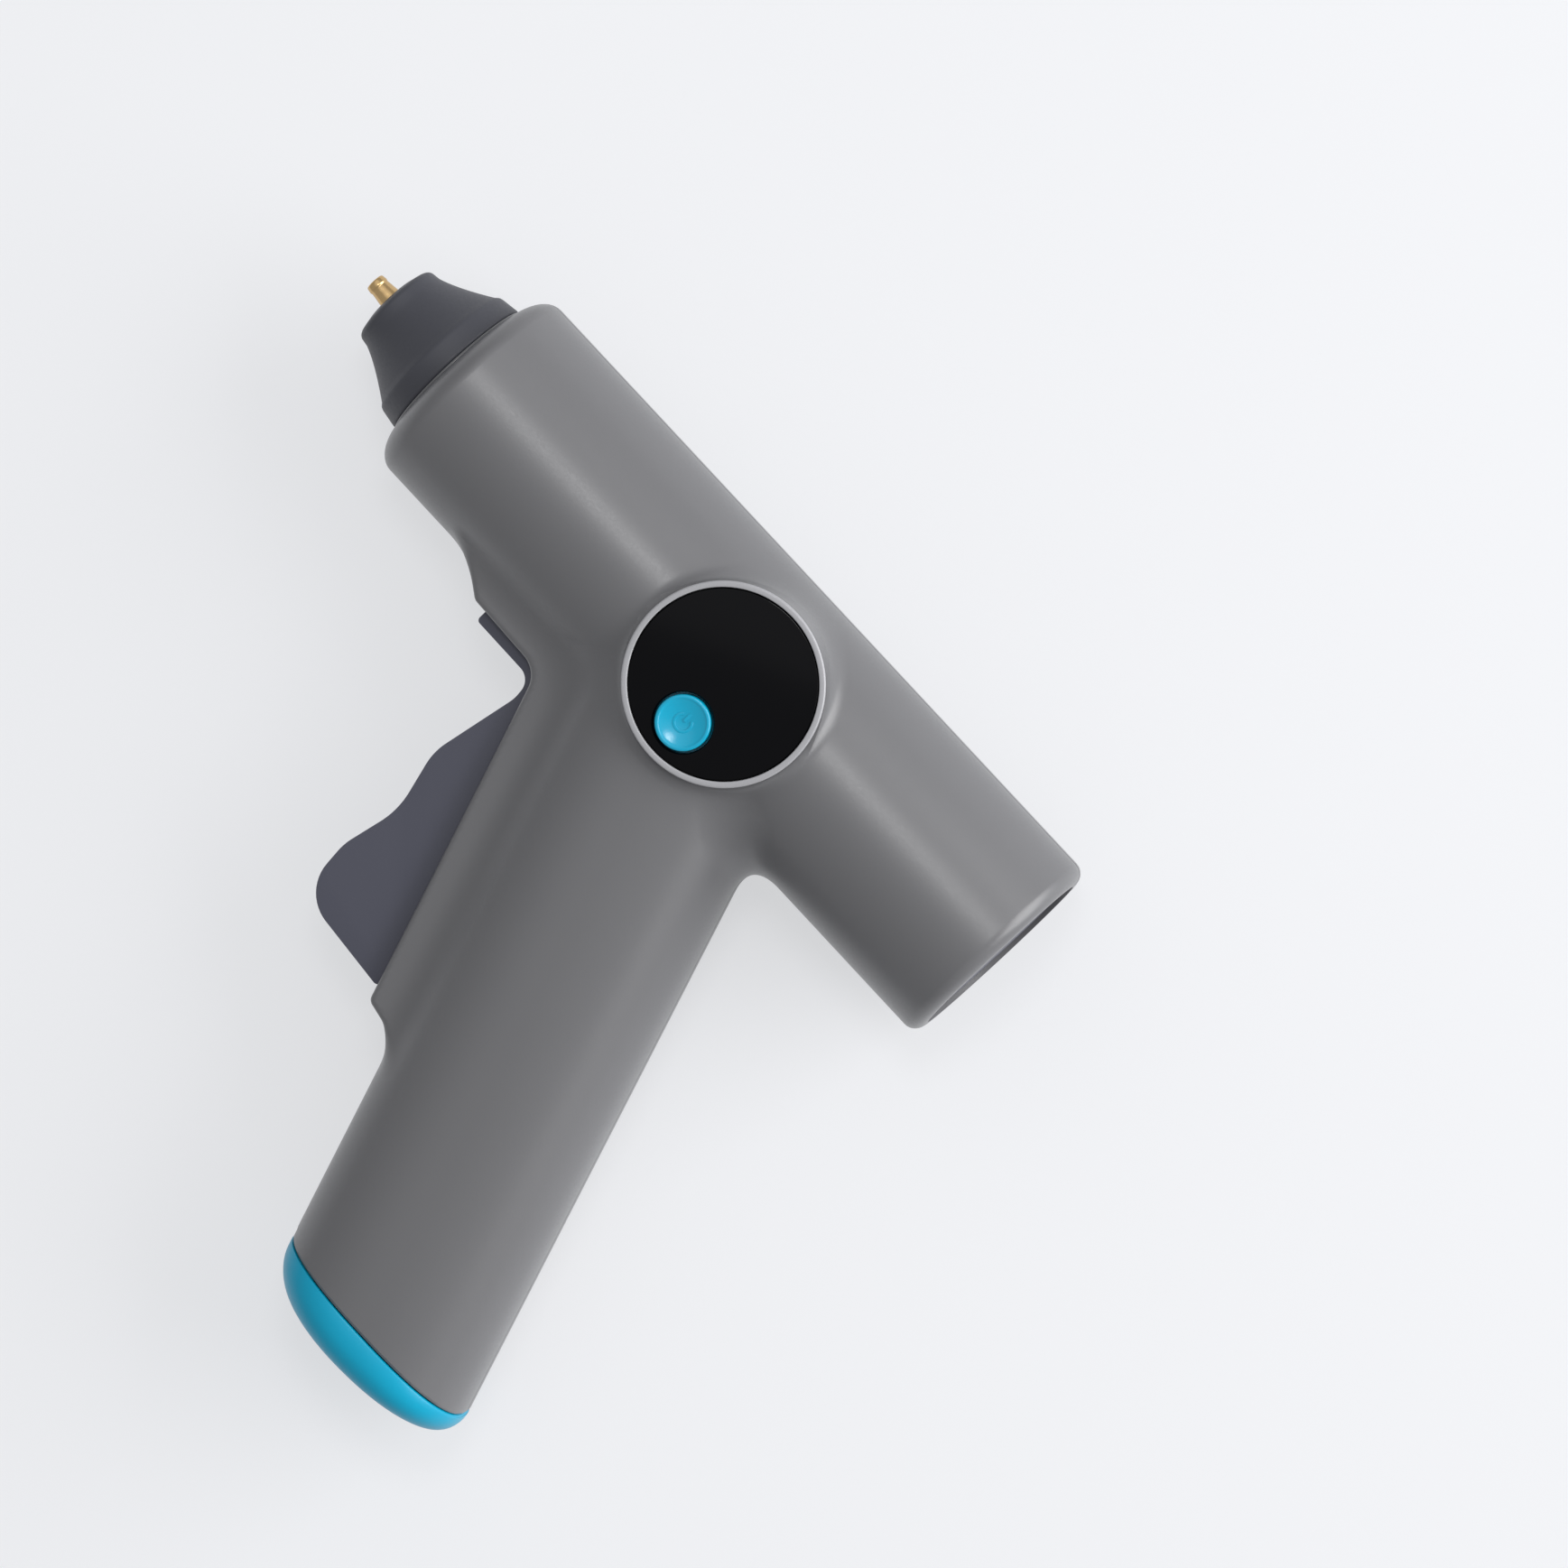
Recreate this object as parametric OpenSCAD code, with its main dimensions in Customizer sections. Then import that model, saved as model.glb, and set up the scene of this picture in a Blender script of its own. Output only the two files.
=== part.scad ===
// Cordless hot glue gun with a round display, built as separate pieces.
// Origin: on the barrel's axis, at the outer face of the rear cap, where the glue stick goes in.
// +X runs back along the barrel, +Y up to the top of the gun, +Z out of the display side.

/* [Barrel] */
// Distance from the rear cap's face to the front of the grey barrel
barrel_length = 140.6; // [138:0.1:172]
// Outside diameter of the barrel
barrel_d = 41.6; // [41:0.1:52]
// Wall of the two body halves
wall = 2.2; // [1.8:0.05:2.8]
// How far the rear rim stands behind the rear cap's face
rim_lip = 0.8; // [0.4:0.1:2]
// Radius of the rear rim's outer edge
rim_round = 2.6; // [1:0.1:4]
// Length of the front shoulder along the barrel
shoulder_length = 4.5; // [3:0.1:6]
// Radius at which the front shoulder starts
shoulder_r = 14.5; // [14:0.1:16]
// Diameter of the rear opening
rear_opening_d = 35; // [30:0.5:37]

/* [Handle] */
// Where the handle's axis crosses the barrel's axis, from the origin
handle_at = 71.6; // [66:0.1:86]
// Lean of the handle from square to the barrel, in degrees
rake = 19.2; // [16:0.1:23]
// Handle size from front to back
handle_depth = 42; // [41:0.5:51]
// Handle size from side to side
handle_thick = 38; // [37:0.5:41]
// Squareness of the handle's section: 2 is an ellipse
handle_curve = 2.5; // [2:0.1:3]
// Distance from the barrel's axis down to the base seam
handle_drop = 127.5; // [125:0.5:160]
// Height of the base cap below the seam
base_height = 9; // [8:0.1:12]
// Radius of the base cap's lower edges
base_round = 6; // [4:0.1:6.5]
// Radius of the gentle curve along the base cap's underside
base_belly = 90; // [70:1:200]
// Gap of the seam above the base cap
base_seam = 0.3; // [0.2:0.05:0.5]

/* [Trigger guard] */
// Distance from the handle's axis to the guard's front edge
guard_reach = 27.1; // [26:0.1:29]
// Thickness of the guard from side to side
guard_thick = 20; // [19.5:0.1:23]
// Distance down the handle to the guard's lower end
guard_low = 83.1; // [82:0.1:90]
// Distance down the handle to the elbow under the barrel
elbow_low = 16.8; // [16:0.1:19]

/* [Trigger] */
// Trigger width from side to side
trigger_w = 13.6; // [12:0.1:14]
// Gap at each side of the trigger in its slot
trigger_gap = 0.5; // [0.35:0.05:0.6]
// How far the pivot lies ahead of the handle's axis
pivot_ahead = 29.9; // [29:0.1:31]
// Diameter of the trigger's pivot pin
pivot_pin_d = 3; // [2.5:0.1:3.6]
// Radius of the hub around the pivot pin
hub_r = 3.6; // [3.4:0.1:3.9]
// Radial clearance of pins that turn
pin_fit = 0.05; // [0.02:0.01:0.08]
// Radial clearance of pins that stand still
still_fit = 0.02; // [0.01:0.01:0.04]

/* [Display] */
// Distance from the origin to the display's centre
display_at = 66; // [60:0.5:68]
// Outside radius of the raised boss
boss_r = 18.2; // [17.8:0.1:19]
// Width of the boss's rim around the lens
boss_rim = 1.15; // [1:0.05:1.4]
// How far the boss stands above the barrel's crown
boss_rise = 1.4; // [1:0.1:3]
// Lens depth below the boss's rim
lens_sunk = 0.3; // [0.1:0.1:0.6]
// Lens thickness
lens_t = 2.3; // [1.8:0.1:2.6]
// Gap around the lens
lens_gap = 0.15; // [0.1:0.05:0.3]
// Diameter of the power button
button_d = 10.4; // [9:0.1:11]
// Distance of the button below the display's centre
button_down = 9.8; // [9:0.1:10]
// How far the button stands above the lens
button_proud = 0.8; // [0.7:0.1:1.4]
// Gap around the button
button_gap = 0.2; // [0.15:0.05:0.3]

/* [Glue stick path] */
// Bore that the glue stick slides through
stick_bore_d = 7.8; // [7.4:0.1:8.2]
// Bore of the inlet in the rear cap
inlet_d = 8; // [7.8:0.1:9]
// Outside diameter of the guide tube
guide_d = 10; // [9.8:0.1:10.4]
// Clearance of the carriage on the guide tube
slide_fit = 0.06; // [0.03:0.01:0.09]
// Diameter of the two drive pins on the carriage
drive_pin_d = 3; // [2.6:0.1:3.2]

/* [Heater] */
// Outside diameter of the melt chamber
chamber_d = 13; // [12:0.1:13.6]
// Outside diameter of the heat shield
shield_d = 26; // [25.5:0.1:27]
// Outside radius of the nose collar's rear band
collar_r = 14.9; // [14.6:0.1:15.6]
// Radius of the nose collar's front edge
collar_tip_r = 8.6; // [8:0.1:9.5]
// Length of the nose collar ahead of the barrel
collar_length = 17.7; // [17:0.1:20]
// Length of brass that stands ahead of the collar
tip_length = 4.5; // [4:0.1:7]
// Radius of the nozzle's mouth end
tip_r = 1.75; // [1.5:0.05:2.2]

/* [Battery] */
// Diameter of the battery cell
battery_d = 18.4; // [18:0.1:18.6]
// Length of the battery cell
battery_length = 65; // [50:0.5:66]

/* [Screws] */
// Shank diameter of the housing screws
screw_d = 2.6; // [2.2:0.1:2.8]
// Head diameter of the housing screws
screw_head_d = 5; // [4.4:0.1:5.2]

/* [Hidden] */
$fn = 72;

// Finishes
shell_grey = "#77787b";
dark_grey = "#45464e";
teal = "#1b9cbb";
brass = "#c9973f";
steel = "#b4b7ba";
board_green = "#1f5b3a";

// Barrel
barrel_r = barrel_d / 2;
inner_r = barrel_r - wall;
front_x = -barrel_length;
seam_gap = 0.05;
cut = 1;

// Handle
handle_a = handle_depth / 2;
handle_b = handle_thick / 2;
base_y = -handle_drop;
base_low_y = base_y - base_height;

// Trigger and feed
pivot_x = -(handle_at + pivot_ahead);
pivot_y = -(barrel_r - 0.8);
guard_end = guard_low - (pivot_y + 20) / cos(rake);
elbow_end = elbow_low - (pivot_y + 20) / cos(rake);
slot_w = trigger_w + 2 * trigger_gap;
pin_lead = 4;
carriage_half = 5;
arm_in = carriage_half + 0.3;
arm_out = trigger_w / 2 - 0.1;
pin_half = guard_thick / 2 - 0.7;
carriage_front = pivot_x - 3;
carriage_back = pivot_x + 12;
skirt_back = pivot_x + 20.5;
guide_front = carriage_back + 0.9;
gripper_x = carriage_back - 6;
gripper_y = 6.8;
gripper_pin_r = 0.9;

// Rear cap and nose
cap_seat = rim_lip - wall - 0.05;
collar_neck_r = 13.2;

// Heater, placed from the carriage forward
sleeve_back = carriage_front - 7.7;
sleeve_flange_back = sleeve_back - 2.6;
chamber_back = sleeve_flange_back - 1.7;
bracket_back = chamber_back - 0.8;
bracket_t = 2.6;
chamber_front = front_x - 10;
collar_front = front_x - collar_length;
tip_front = collar_front - tip_length;

// Display stack
boss_top = barrel_r + boss_rise;
lens_top = boss_top - lens_sunk;
lens_low = lens_top - lens_t;
lens_r = boss_r - boss_rim - lens_gap;
board_t = 1.6;
board_top = lens_low - 3.4;
board_r = 14.6;
pocket_r = boss_r - 2.1;
pocket_low = board_top - board_t - 2;
button_r = button_d / 2;
button_y = -button_down;

// Screws: places on the barrel and on the handle
screw_seat = 8.5;
screw_tip = 7;
post_r = 4.2;
screw_at = [[pivot_x - 9, barrel_r - 6.8],
            [-16, barrel_r - 7.3],
            [-22, -(barrel_r - 7.3)],
            from_handle(12, 41),
            from_handle(-13.5, 103)];

// Charging socket and the base's screws
usb_x = -handle_at - base_y * tan(rake) - 0.2;
usb_w = 9;
usb_h = 3.2;
base_screw_at = [usb_x - 13, usb_x + 13];
base_sunk = 3.4;

// Battery
battery_q = 7;
battery_top = 56;

// ---------- helpers ----------

// A point from the handle's own measures: back from its axis, and down along it
function from_handle(back, down) =
    [-handle_at + back * cos(rake) + down * sin(rake), back * sin(rake) - down * cos(rake)];

function unit(v) = v / norm(v);

// The arc that rounds the corner p between its neighbours a and b
function arc_corner(a, p, b, r, n) =
    let (u = unit(a - p),
         w = unit(b - p),
         half = acos(u * w) / 2,
         c = p + unit(u + w) * r / sin(half),
         s = p + u * r / tan(half) - c,
         e = p + w * r / tan(half) - c,
         from = atan2(s.y, s.x),
         raw = atan2(e.y, e.x) - from,
         turn = raw > 180 ? raw - 360 : raw < -180 ? raw + 360 : raw)
    [for (i = [0:n]) c + r * [cos(from + turn * i / n), sin(from + turn * i / n)]];

// A closed outline from rows of [[x, y], corner radius]
function rounded(rows, n = 6) =
    let (m = len(rows))
    [for (i = [0:m - 1])
        let (row = rows[i])
        each row[1] <= 0 ? [row[0]]
            : arc_corner(rows[(i + m - 1) % m][0], row[0], rows[(i + 1) % m][0], row[1], n)];

function signed_power(v, e) = sign(v) * pow(abs(v), e);

// A closed outline between an ellipse and a rectangle
function superellipse(a, b, n = 56) =
    [for (i = [0:n - 1])
        let (t = 360 * (i + 0.5) / n)
        [a * signed_power(cos(t), 2 / handle_curve), b * signed_power(sin(t), 2 / handle_curve)]];

// A round bar along X
module bar_x(r, x0, x1) {
    translate([x0, 0, 0])
        rotate([0, 90, 0])
            cylinder(r = r, h = x1 - x0);
}

// A pipe along X
module pipe_x(r_out, r_in, x0, x1) {
    difference() {
        bar_x(r_out, x0, x1);
        bar_x(r_in, x0 - cut, x1 + cut);
    }
}

// A turned shape about the X axis, from points of [radius, x]
module turned_x(points) {
    rotate([0, 90, 0])
        rotate_extrude()
            polygon(points);
}

// A flat shape in the XY plane, from z0 to z1
module slab(points, z0, z1) {
    translate([0, 0, z0])
        linear_extrude(z1 - z0)
            polygon(points);
}

module box_at(low, high) {
    translate(low)
        cube(high - low);
}

// Children drawn along the handle: x back from its axis, -y down along it
module on_handle() {
    translate([-handle_at, 0, 0])
        rotate([0, 0, rake])
            children();
}

// A straight bar with the handle's section, shrunk by inset
module handle_bar(inset, from, to) {
    on_handle()
        translate([0, -from, 0])
            rotate([90, 0, 0])
                linear_extrude(to - from)
                    polygon(superellipse(handle_a - inset, handle_b - inset));
}

// A tube swept along points, with flat ends
module swept(points, r, sides = 8) {
    last = len(points) - 1;
    rings = [for (i = [0:last])
        let (t = unit(points[min(i + 1, last)] - points[max(i - 1, 0)]),
             side = unit(cross(t, [0.02, 0.03, 1])),
             up = cross(side, t))
        for (k = [0:sides - 1])
            points[i] + r * (cos(360 * k / sides) * side + sin(360 * k / sides) * up)];
    walls = [for (i = [0:last - 1], k = [0:sides - 1])
        let (j = (k + 1) % sides)
        [i * sides + k, i * sides + j, (i + 1) * sides + j, (i + 1) * sides + k]];
    polyhedron(rings, concat(walls,
        [[for (k = [sides - 1:-1:0]) k]],
        [[for (k = [0:sides - 1]) last * sides + k]]), convexity = 6);
}

// A coil spring about the X axis
module coil_x(r, wire, x0, x1, turns) {
    steps = 12;
    pitch_run = x1 - x0 - 2 * wire;
    swept([for (i = [0:turns * steps])
        [x0 + wire + pitch_run * i / (turns * steps),
         r * cos(360 * i / steps),
         r * sin(360 * i / steps)]], wire, 6);
}

// ---------- body shape ----------

// Points of the barrel's side, shrunk by inset
function barrel_profile(inset) =
    let (r = barrel_r - inset, steps = 6, front = front_x + inset, back = rim_lip - inset,
         edge = rim_round - inset)
    concat(
        [[0, front]],
        [for (i = [0:steps])
            let (t = 90 * i / steps)
            [shoulder_r + (r - shoulder_r) * sin(t), front + shoulder_length * (1 - cos(t))]],
        [for (i = [0:steps])
            let (t = 90 * i / steps)
            [r - edge * (1 - cos(t)), back - edge * (1 - sin(t))]],
        [[0, back]]);

function guard_outline() = rounded([
    [[pivot_x - 16, -(barrel_r - 3)], 0],
    [[pivot_x - 12, -(barrel_r - 0.1)], 6],
    [[pivot_x - 6.8, -(barrel_r + 3.5)], 1.5],
    [from_handle(-guard_reach, elbow_end), 5],
    [from_handle(-guard_reach, guard_end), 1.6],
    [from_handle(-handle_a - 1, guard_end + 1.8), 3],
    [from_handle(-handle_a + 0.8, guard_end + 11.7), 0],
    [from_handle(-8, guard_end + 11.7), 0],
    [from_handle(-8, 4), 0]]);

function guard_hollow() = rounded([
    [[pivot_x - 6.5, -(barrel_r - 10)], 0],
    [[pivot_x - 6.5, -(barrel_r + 0.6)], 0],
    [from_handle(-guard_reach + wall, elbow_end - 0.4), 2.5],
    [from_handle(-guard_reach + wall, guard_end - wall), 0],
    [from_handle(-8, guard_end - wall), 0],
    [from_handle(-8, 4), 0]]);

module body_outside() {
    turned_x(barrel_profile(0));
    handle_bar(0, 0, 200);
    slab(guard_outline(), -guard_thick / 2, guard_thick / 2);
}

module body_inside() {
    turned_x(barrel_profile(wall));
    handle_bar(wall, 0, 200);
    slab(guard_hollow(), -guard_thick / 2 + wall, guard_thick / 2 - wall);
}

// Space that the trigger needs in the guard's front
module trigger_slot() {
    slot_low = guard_end - 2;
    slab([[pivot_x - 4.6, -(barrel_r - 9)],
          [pivot_x - 4.6, -60],
          from_handle(-60, 60),
          from_handle(-45, slot_low),
          from_handle(-handle_a + 1, slot_low),
          from_handle(-handle_a + 1, 10)], -slot_w / 2, slot_w / 2);
}

// The small cut at the front of the base seam
module seam_notch() {
    front = from_handle(-handle_a, (handle_drop - handle_a * sin(rake)) / cos(rake));
    slab([front + [-2, 0], front + [5, 0], front + [5, 1.3], front + [0.9, 1.3],
          front + [-1, 2.4]], -7, 7);
}

// Webs that hold the guide tube
module guide_webs() {
    reach = inner_r + 0.5;
    intersection() {
        body_outside();
        difference() {
            for (x = [-30, skirt_back + 0.4])
                box_at([x, -12, -reach], [x + 1.6, reach, reach]);
            bar_x(guide_d / 2 + still_fit, -barrel_length, 0);
        }
    }
}

// Ribs that hold the bracket's edge
module bracket_ribs() {
    for (x = [bracket_back - bracket_t - 1.3, bracket_back + 0.1])
        pipe_x(inner_r + 0.4, inner_r - 3, x, x + 1.2);
}

module screw_posts(z0, z1) {
    for (p = screw_at)
        translate([p.x, p.y, z0])
            cylinder(r = post_r, h = z1 - z0);
}

// What both halves share, before they are cut apart
module body_walls() {
    difference() {
        body_outside();
        body_inside();
        bar_x(rear_opening_d / 2, -wall - cut, rim_lip + cut);
        bar_x(collar_neck_r + 0.25, front_x - cut, front_x + wall + cut);
        trigger_slot();
        seam_notch();
        box_at([-200, base_y - 100, -40], [100, base_y, 40]);
        translate([pivot_x, pivot_y, -pin_half])
            cylinder(d = pivot_pin_d + 2 * still_fit, h = 2 * pin_half);
    }
    bracket_ribs();
    guide_webs();
}

module left_half_space() {
    box_at([-250, -250, seam_gap], [100, 100, 60]);
}

module right_half_space() {
    box_at([-250, -250, -60], [100, 100, -seam_gap]);
}

// ---------- the pieces ----------

module left_shell() {
    color(shell_grey)
        difference() {
            union() {
                intersection() {
                    union() {
                        body_walls();
                        intersection() {
                            body_outside();
                            screw_posts(seam_gap, 40);
                        }
                    }
                    left_half_space();
                }
                display_boss();
            }
            for (p = screw_at)
                translate([p.x, p.y, 0])
                    cylinder(d = screw_d + 2 * still_fit, h = screw_tip + 1);
            display_pocket();
        }
}

// The raised ring around the display, down to the body's outside
module display_boss() {
    difference() {
        translate([-display_at, 0, 5])
            cylinder(r = boss_r, h = boss_top - 5);
        body_inside();
    }
}

module display_pocket() {
    translate([-display_at, 0, lens_low])
        cylinder(r = lens_r + lens_gap, h = lens_t + 5);
    translate([-display_at, 0, pocket_low])
        cylinder(r = pocket_r, h = lens_low - pocket_low + cut);
}

module right_shell() {
    color(shell_grey)
        difference() {
            intersection() {
                union() {
                    body_walls();
                    intersection() {
                        body_outside();
                        screw_posts(-40, -seam_gap);
                    }
                }
                right_half_space();
            }
            for (p = screw_at)
                translate([p.x, p.y, 0]) {
                    translate([0, 0, -40])
                        cylinder(d = screw_head_d + 0.8, h = 40 - screw_seat);
                    translate([0, 0, -screw_seat - cut])
                        cylinder(d = screw_d + 0.4, h = screw_seat + 2);
                }
        }
}

module rear_cap() {
    disc_r = rear_opening_d / 2 - 0.2;
    color(dark_grey)
        difference() {
            union() {
                bar_x(disc_r, cap_seat - 1, 0);
                bar_x(inner_r - 0.3, cap_seat - 2, cap_seat);
                bar_x(guide_d / 2 + 1.8, -22, cap_seat);
            }
            bar_x(inlet_d / 2, -30, cut);
            bar_x(guide_d / 2 + still_fit, -22 - cut, -14);
        }
}

// Flared nose sleeve with a plain band at its rear and a domed front
module nozzle_collar() {
    steps = 7;
    front = collar_front;
    flare_run = collar_length - 6.7;
    flare = [for (i = [0:steps])
        let (t = i / steps)
        [collar_tip_r + (collar_r - 0.6 - collar_tip_r) * pow(t, 1.28),
         front + 2.3 + flare_run * t]];
    color(dark_grey)
        turned_x(concat(
            [[2.7, front], [3.7, front + 0.05], [5.2, front + 0.35], [7.6, front + 1.2]],
            flare,
            [[collar_r - 0.15, front_x - 3.5], [collar_r, front_x - 2.4],
             [collar_r, front_x - 0.7], [collar_r - 0.4, front_x - 0.2],
             [collar_neck_r, front_x - 0.2], [collar_neck_r, front_x + wall + 0.3],
             [collar_neck_r + 2.2, front_x + wall + 0.3],
             [collar_neck_r + 2.2, front_x + wall + 2.3],
             [10.4, front_x + wall + 2.3], [chamber_d / 2 + 1.4, front_x - 2],
             [chamber_d / 2 + 1.4, chamber_front - 0.6], [5.7, chamber_front - 0.6],
             [5.7, front + 2.4], [2.7, front + 2.4]]));
}

module nozzle() {
    seat = chamber_front;
    color(brass)
        difference() {
            union() {
                turned_x([[0, tip_front], [tip_r - 0.5, tip_front], [tip_r, tip_front + 0.5],
                          [2.2, collar_front], [2.4, collar_front + 2.4],
                          [4.2, collar_front + 3.2], [4.2, seat - 3], [0, seat - 3]]);
                translate([seat - 3, 0, 0])
                    rotate([0, 90, 0])
                        cylinder(r = 5.2, h = 2.9, $fn = 6);
                bar_x(3.4, seat - 0.2, seat + 5);
            }
            bar_x(0.6, tip_front - cut, seat);
            bar_x(1.6, collar_front + 2, seat + 6);
        }
}

module check_ball() {
    color(steel)
        translate([collar_front + 3.1, 0, 0])
            sphere(r = 1);
}

module nozzle_spring() {
    color(steel)
        coil_x(1.05, 0.16, collar_front + 4.3, chamber_front + 4.8, 7);
}

module melt_chamber() {
    r = chamber_d / 2;
    color("silver")
        difference() {
            union() {
                bar_x(r, chamber_front, chamber_back);
                box_at([chamber_back - 26, -r + 0.4, -3.6], [chamber_back - 4.5, 0, 3.6]);
                box_at([chamber_back - 24, 0, -3.6], [chamber_back - 4.5, r + 0.6, 3.6]);
            }
            bar_x(3.42, chamber_front - cut, chamber_front + 5.4);
            turned_x([[0, chamber_front + 5.3], [1.8, chamber_front + 5.3],
                      [stick_bore_d / 2, chamber_front + 12], [stick_bore_d / 2, chamber_back],
                      [0, chamber_back]]);
            bar_x(guide_d / 2 + 0.25, chamber_back - 4, chamber_back + cut);
        }
}

module heater_plate() {
    top = chamber_d / 2 + 0.6;
    color("white")
        box_at([chamber_back - 19.8, top, -3.2], [chamber_back - 6, top + 2, 3.2]);
}

module heater_clip() {
    r = chamber_d / 2;
    top = r + 2.6;
    color(steel)
        for (x = [chamber_back - 19, chamber_back - 12])
            difference() {
                box_at([x, -r - 0.5, -r - 0.5], [x + 3, top + 0.5, r + 0.5]);
                box_at([x - cut, -r - 0.05, -r - 0.05], [x + 4, top + 0.05, r + 0.05]);
            }
}

module thermistor() {
    r = chamber_d / 2;
    color("black")
        translate([chamber_back - 15.5, -0.64 * (r + 1), 0.77 * (r + 1)])
            rotate([0, 90, 0])
                cylinder(r = 0.9, h = 3);
}

module heat_shield() {
    color(steel)
        pipe_x(shield_d / 2, shield_d / 2 - 0.5, front_x + wall + 3.4,
               bracket_back - bracket_t - 0.4);
}

module heater_bracket() {
    r = inner_r - 0.3;
    color("dimgray")
        difference() {
            bar_x(r, bracket_back - bracket_t, bracket_back);
            bar_x(chamber_d / 2 + still_fit, bracket_back - bracket_t - cut, bracket_back + cut);
            for (side = [-1, 1])
                translate([0, -10, side * 6])
                    bar_x(1.4, bracket_back - bracket_t - cut, bracket_back + cut);
        }
}

module inlet_sleeve() {
    color("ivory")
        difference() {
            union() {
                bar_x(guide_d / 2, chamber_back - 3.6, sleeve_back);
                bar_x(7, chamber_back + 0.1, sleeve_flange_back);
            }
            bar_x(stick_bore_d / 2, chamber_back - 5, sleeve_back + cut);
        }
}

module guide_tube() {
    color("dimgray")
        pipe_x(guide_d / 2, stick_bore_d / 2, guide_front, -14.2);
}

module feed_carriage() {
    h = carriage_half;
    color("whitesmoke")
        difference() {
            union() {
                box_at([carriage_front, -6, -h], [carriage_back, 9, h]);
                bar_x(guide_d / 2 + 1.6, carriage_back - 0.1, skirt_back);
                bar_x(guide_d / 2 + 0.1, carriage_front - 1.6, carriage_front + 0.1);
                translate([pivot_x + pin_lead, 0, -arm_out + 0.2])
                    cylinder(d = drive_pin_d, h = 2 * (arm_out - 0.2));
            }
            bar_x(stick_bore_d / 2, carriage_front - 3, carriage_back + cut);
            bar_x(guide_d / 2 + slide_fit, carriage_back + 0.4, skirt_back + cut);
            box_at([carriage_front + 2.4, 0, -2.9], [carriage_back - 2.6, 12, 2.9]);
            translate([gripper_x, gripper_y, -h - cut])
                cylinder(r = gripper_pin_r + still_fit, h = 2 * h + 2 * cut);
        }
}

module gripper() {
    reach = stick_bore_d / 2 + 0.15;
    color(steel)
        difference() {
            slab(rounded([
                [[gripper_x - 3.2, gripper_y + 2], 1],
                [[gripper_x + 2, gripper_y + 2], 1.2],
                [[gripper_x + 2, gripper_y - 1.6], 1],
                [[gripper_x - 1.6, gripper_y - 2], 0],
                [[gripper_x - 2.2, reach + 0.1], 0],
                [[gripper_x - 2.8, reach + 0.6], 0],
                [[gripper_x - 3.4, reach], 0],
                [[gripper_x - 4, reach + 0.6], 0],
                [[gripper_x - 4.6, reach], 0],
                [[gripper_x - 5, reach + 1.2], 0]]), -2.4, 2.4);
            translate([gripper_x, gripper_y, -3])
                cylinder(r = gripper_pin_r + pin_fit, h = 6);
        }
}

module gripper_pin() {
    color(steel)
        translate([gripper_x, gripper_y, -carriage_half])
            cylinder(r = gripper_pin_r, h = 2 * carriage_half);
}

module return_spring() {
    color(steel)
        coil_x(6, 0.4, sleeve_flange_back + 0.15, carriage_front - 0.15, 6);
}

// Side outline of the trigger's plate, from its pivot
function trigger_outline() =
    let (p = [pivot_x, pivot_y], low = -(barrel_r + 6.1) - pivot_y)
    rounded([
        [p + [-4.25, low], 0.8],
        [p + [9.9, low - 0.1], 3],
        [p + [10.5, -11.4], 8],
        [p + [7.3, -28.7], 12],
        [p + [10.5, -40.6], 16],
        [p + [8.1, -52], 12],
        [p + [9.2, -63.4], 8],
        [p + [30, -65.1], 1],
        [p + [33, -62.9], 1.5],
        [p + [18.4, -22], 8],
        [p + [8.6, 1.5], 2],
        [p + [-4.25, 1.5], 0.5]], 8);

module trigger_arm(z0, z1) {
    lean = atan2(pin_lead, -pivot_y);
    reach = norm([pin_lead, pivot_y]);
    slot = drive_pin_d + 0.7;
    translate([pivot_x, pivot_y, 0])
        rotate([0, 0, -lean])
            difference() {
                box_at([-3.8, 0, z0], [4.4, reach + 4.6, z1]);
                box_at([-slot / 2, reach - 3.4, z0 - cut], [slot / 2, reach + 6, z1 + cut]);
            }
}

module trigger() {
    half = trigger_w / 2;
    p = [pivot_x, pivot_y];
    color(dark_grey)
        difference() {
            union() {
                slab(trigger_outline(), -half, half);
                translate([pivot_x, pivot_y, -arm_out - 0.05])
                    cylinder(r = hub_r, h = 2 * arm_out + 0.1);
                trigger_arm(arm_in, arm_out);
                trigger_arm(-arm_out, -arm_in);
            }
            translate([pivot_x, pivot_y, -half - cut])
                cylinder(d = pivot_pin_d + 2 * pin_fit, h = 2 * half + 2 * cut);
            slab([p + [13.2, -16], p + [11, -30], p + [14, -40], p + [11.4, -51],
                  p + [12.2, -59.4], p + [29, -61], p + [40, -56], p + [22, -12]],
                 -half + 1.8, half - 1.8);
        }
}

module trigger_pin() {
    color(steel)
        translate([pivot_x, pivot_y, -pin_half + 0.1])
            cylinder(d = pivot_pin_d, h = 2 * pin_half - 0.2);
}

// Children drawn at the two screws that hold the board to the lens
module at_board_screws() {
    for (turn = [-26, 206])
        translate([-display_at, 0, 0])
            rotate([0, 0, turn])
                translate([board_r - 2.2, 0, 0])
                    children();
}

module display_lens() {
    color("#101014")
        difference() {
            union() {
                translate([-display_at, 0, lens_low + 0.02])
                    cylinder(r = lens_r, h = lens_t - 0.02);
                at_board_screws()
                    translate([0, 0, board_top + 0.02])
                        cylinder(r = 2, h = lens_low - board_top + 0.5);
            }
            translate([-display_at, button_y, lens_low - cut])
                cylinder(r = button_r + button_gap, h = lens_t + 2 * cut);
            at_board_screws()
                translate([0, 0, board_top - cut])
                    cylinder(r = 1 + still_fit, h = 3.4 + cut);
        }
}

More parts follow.
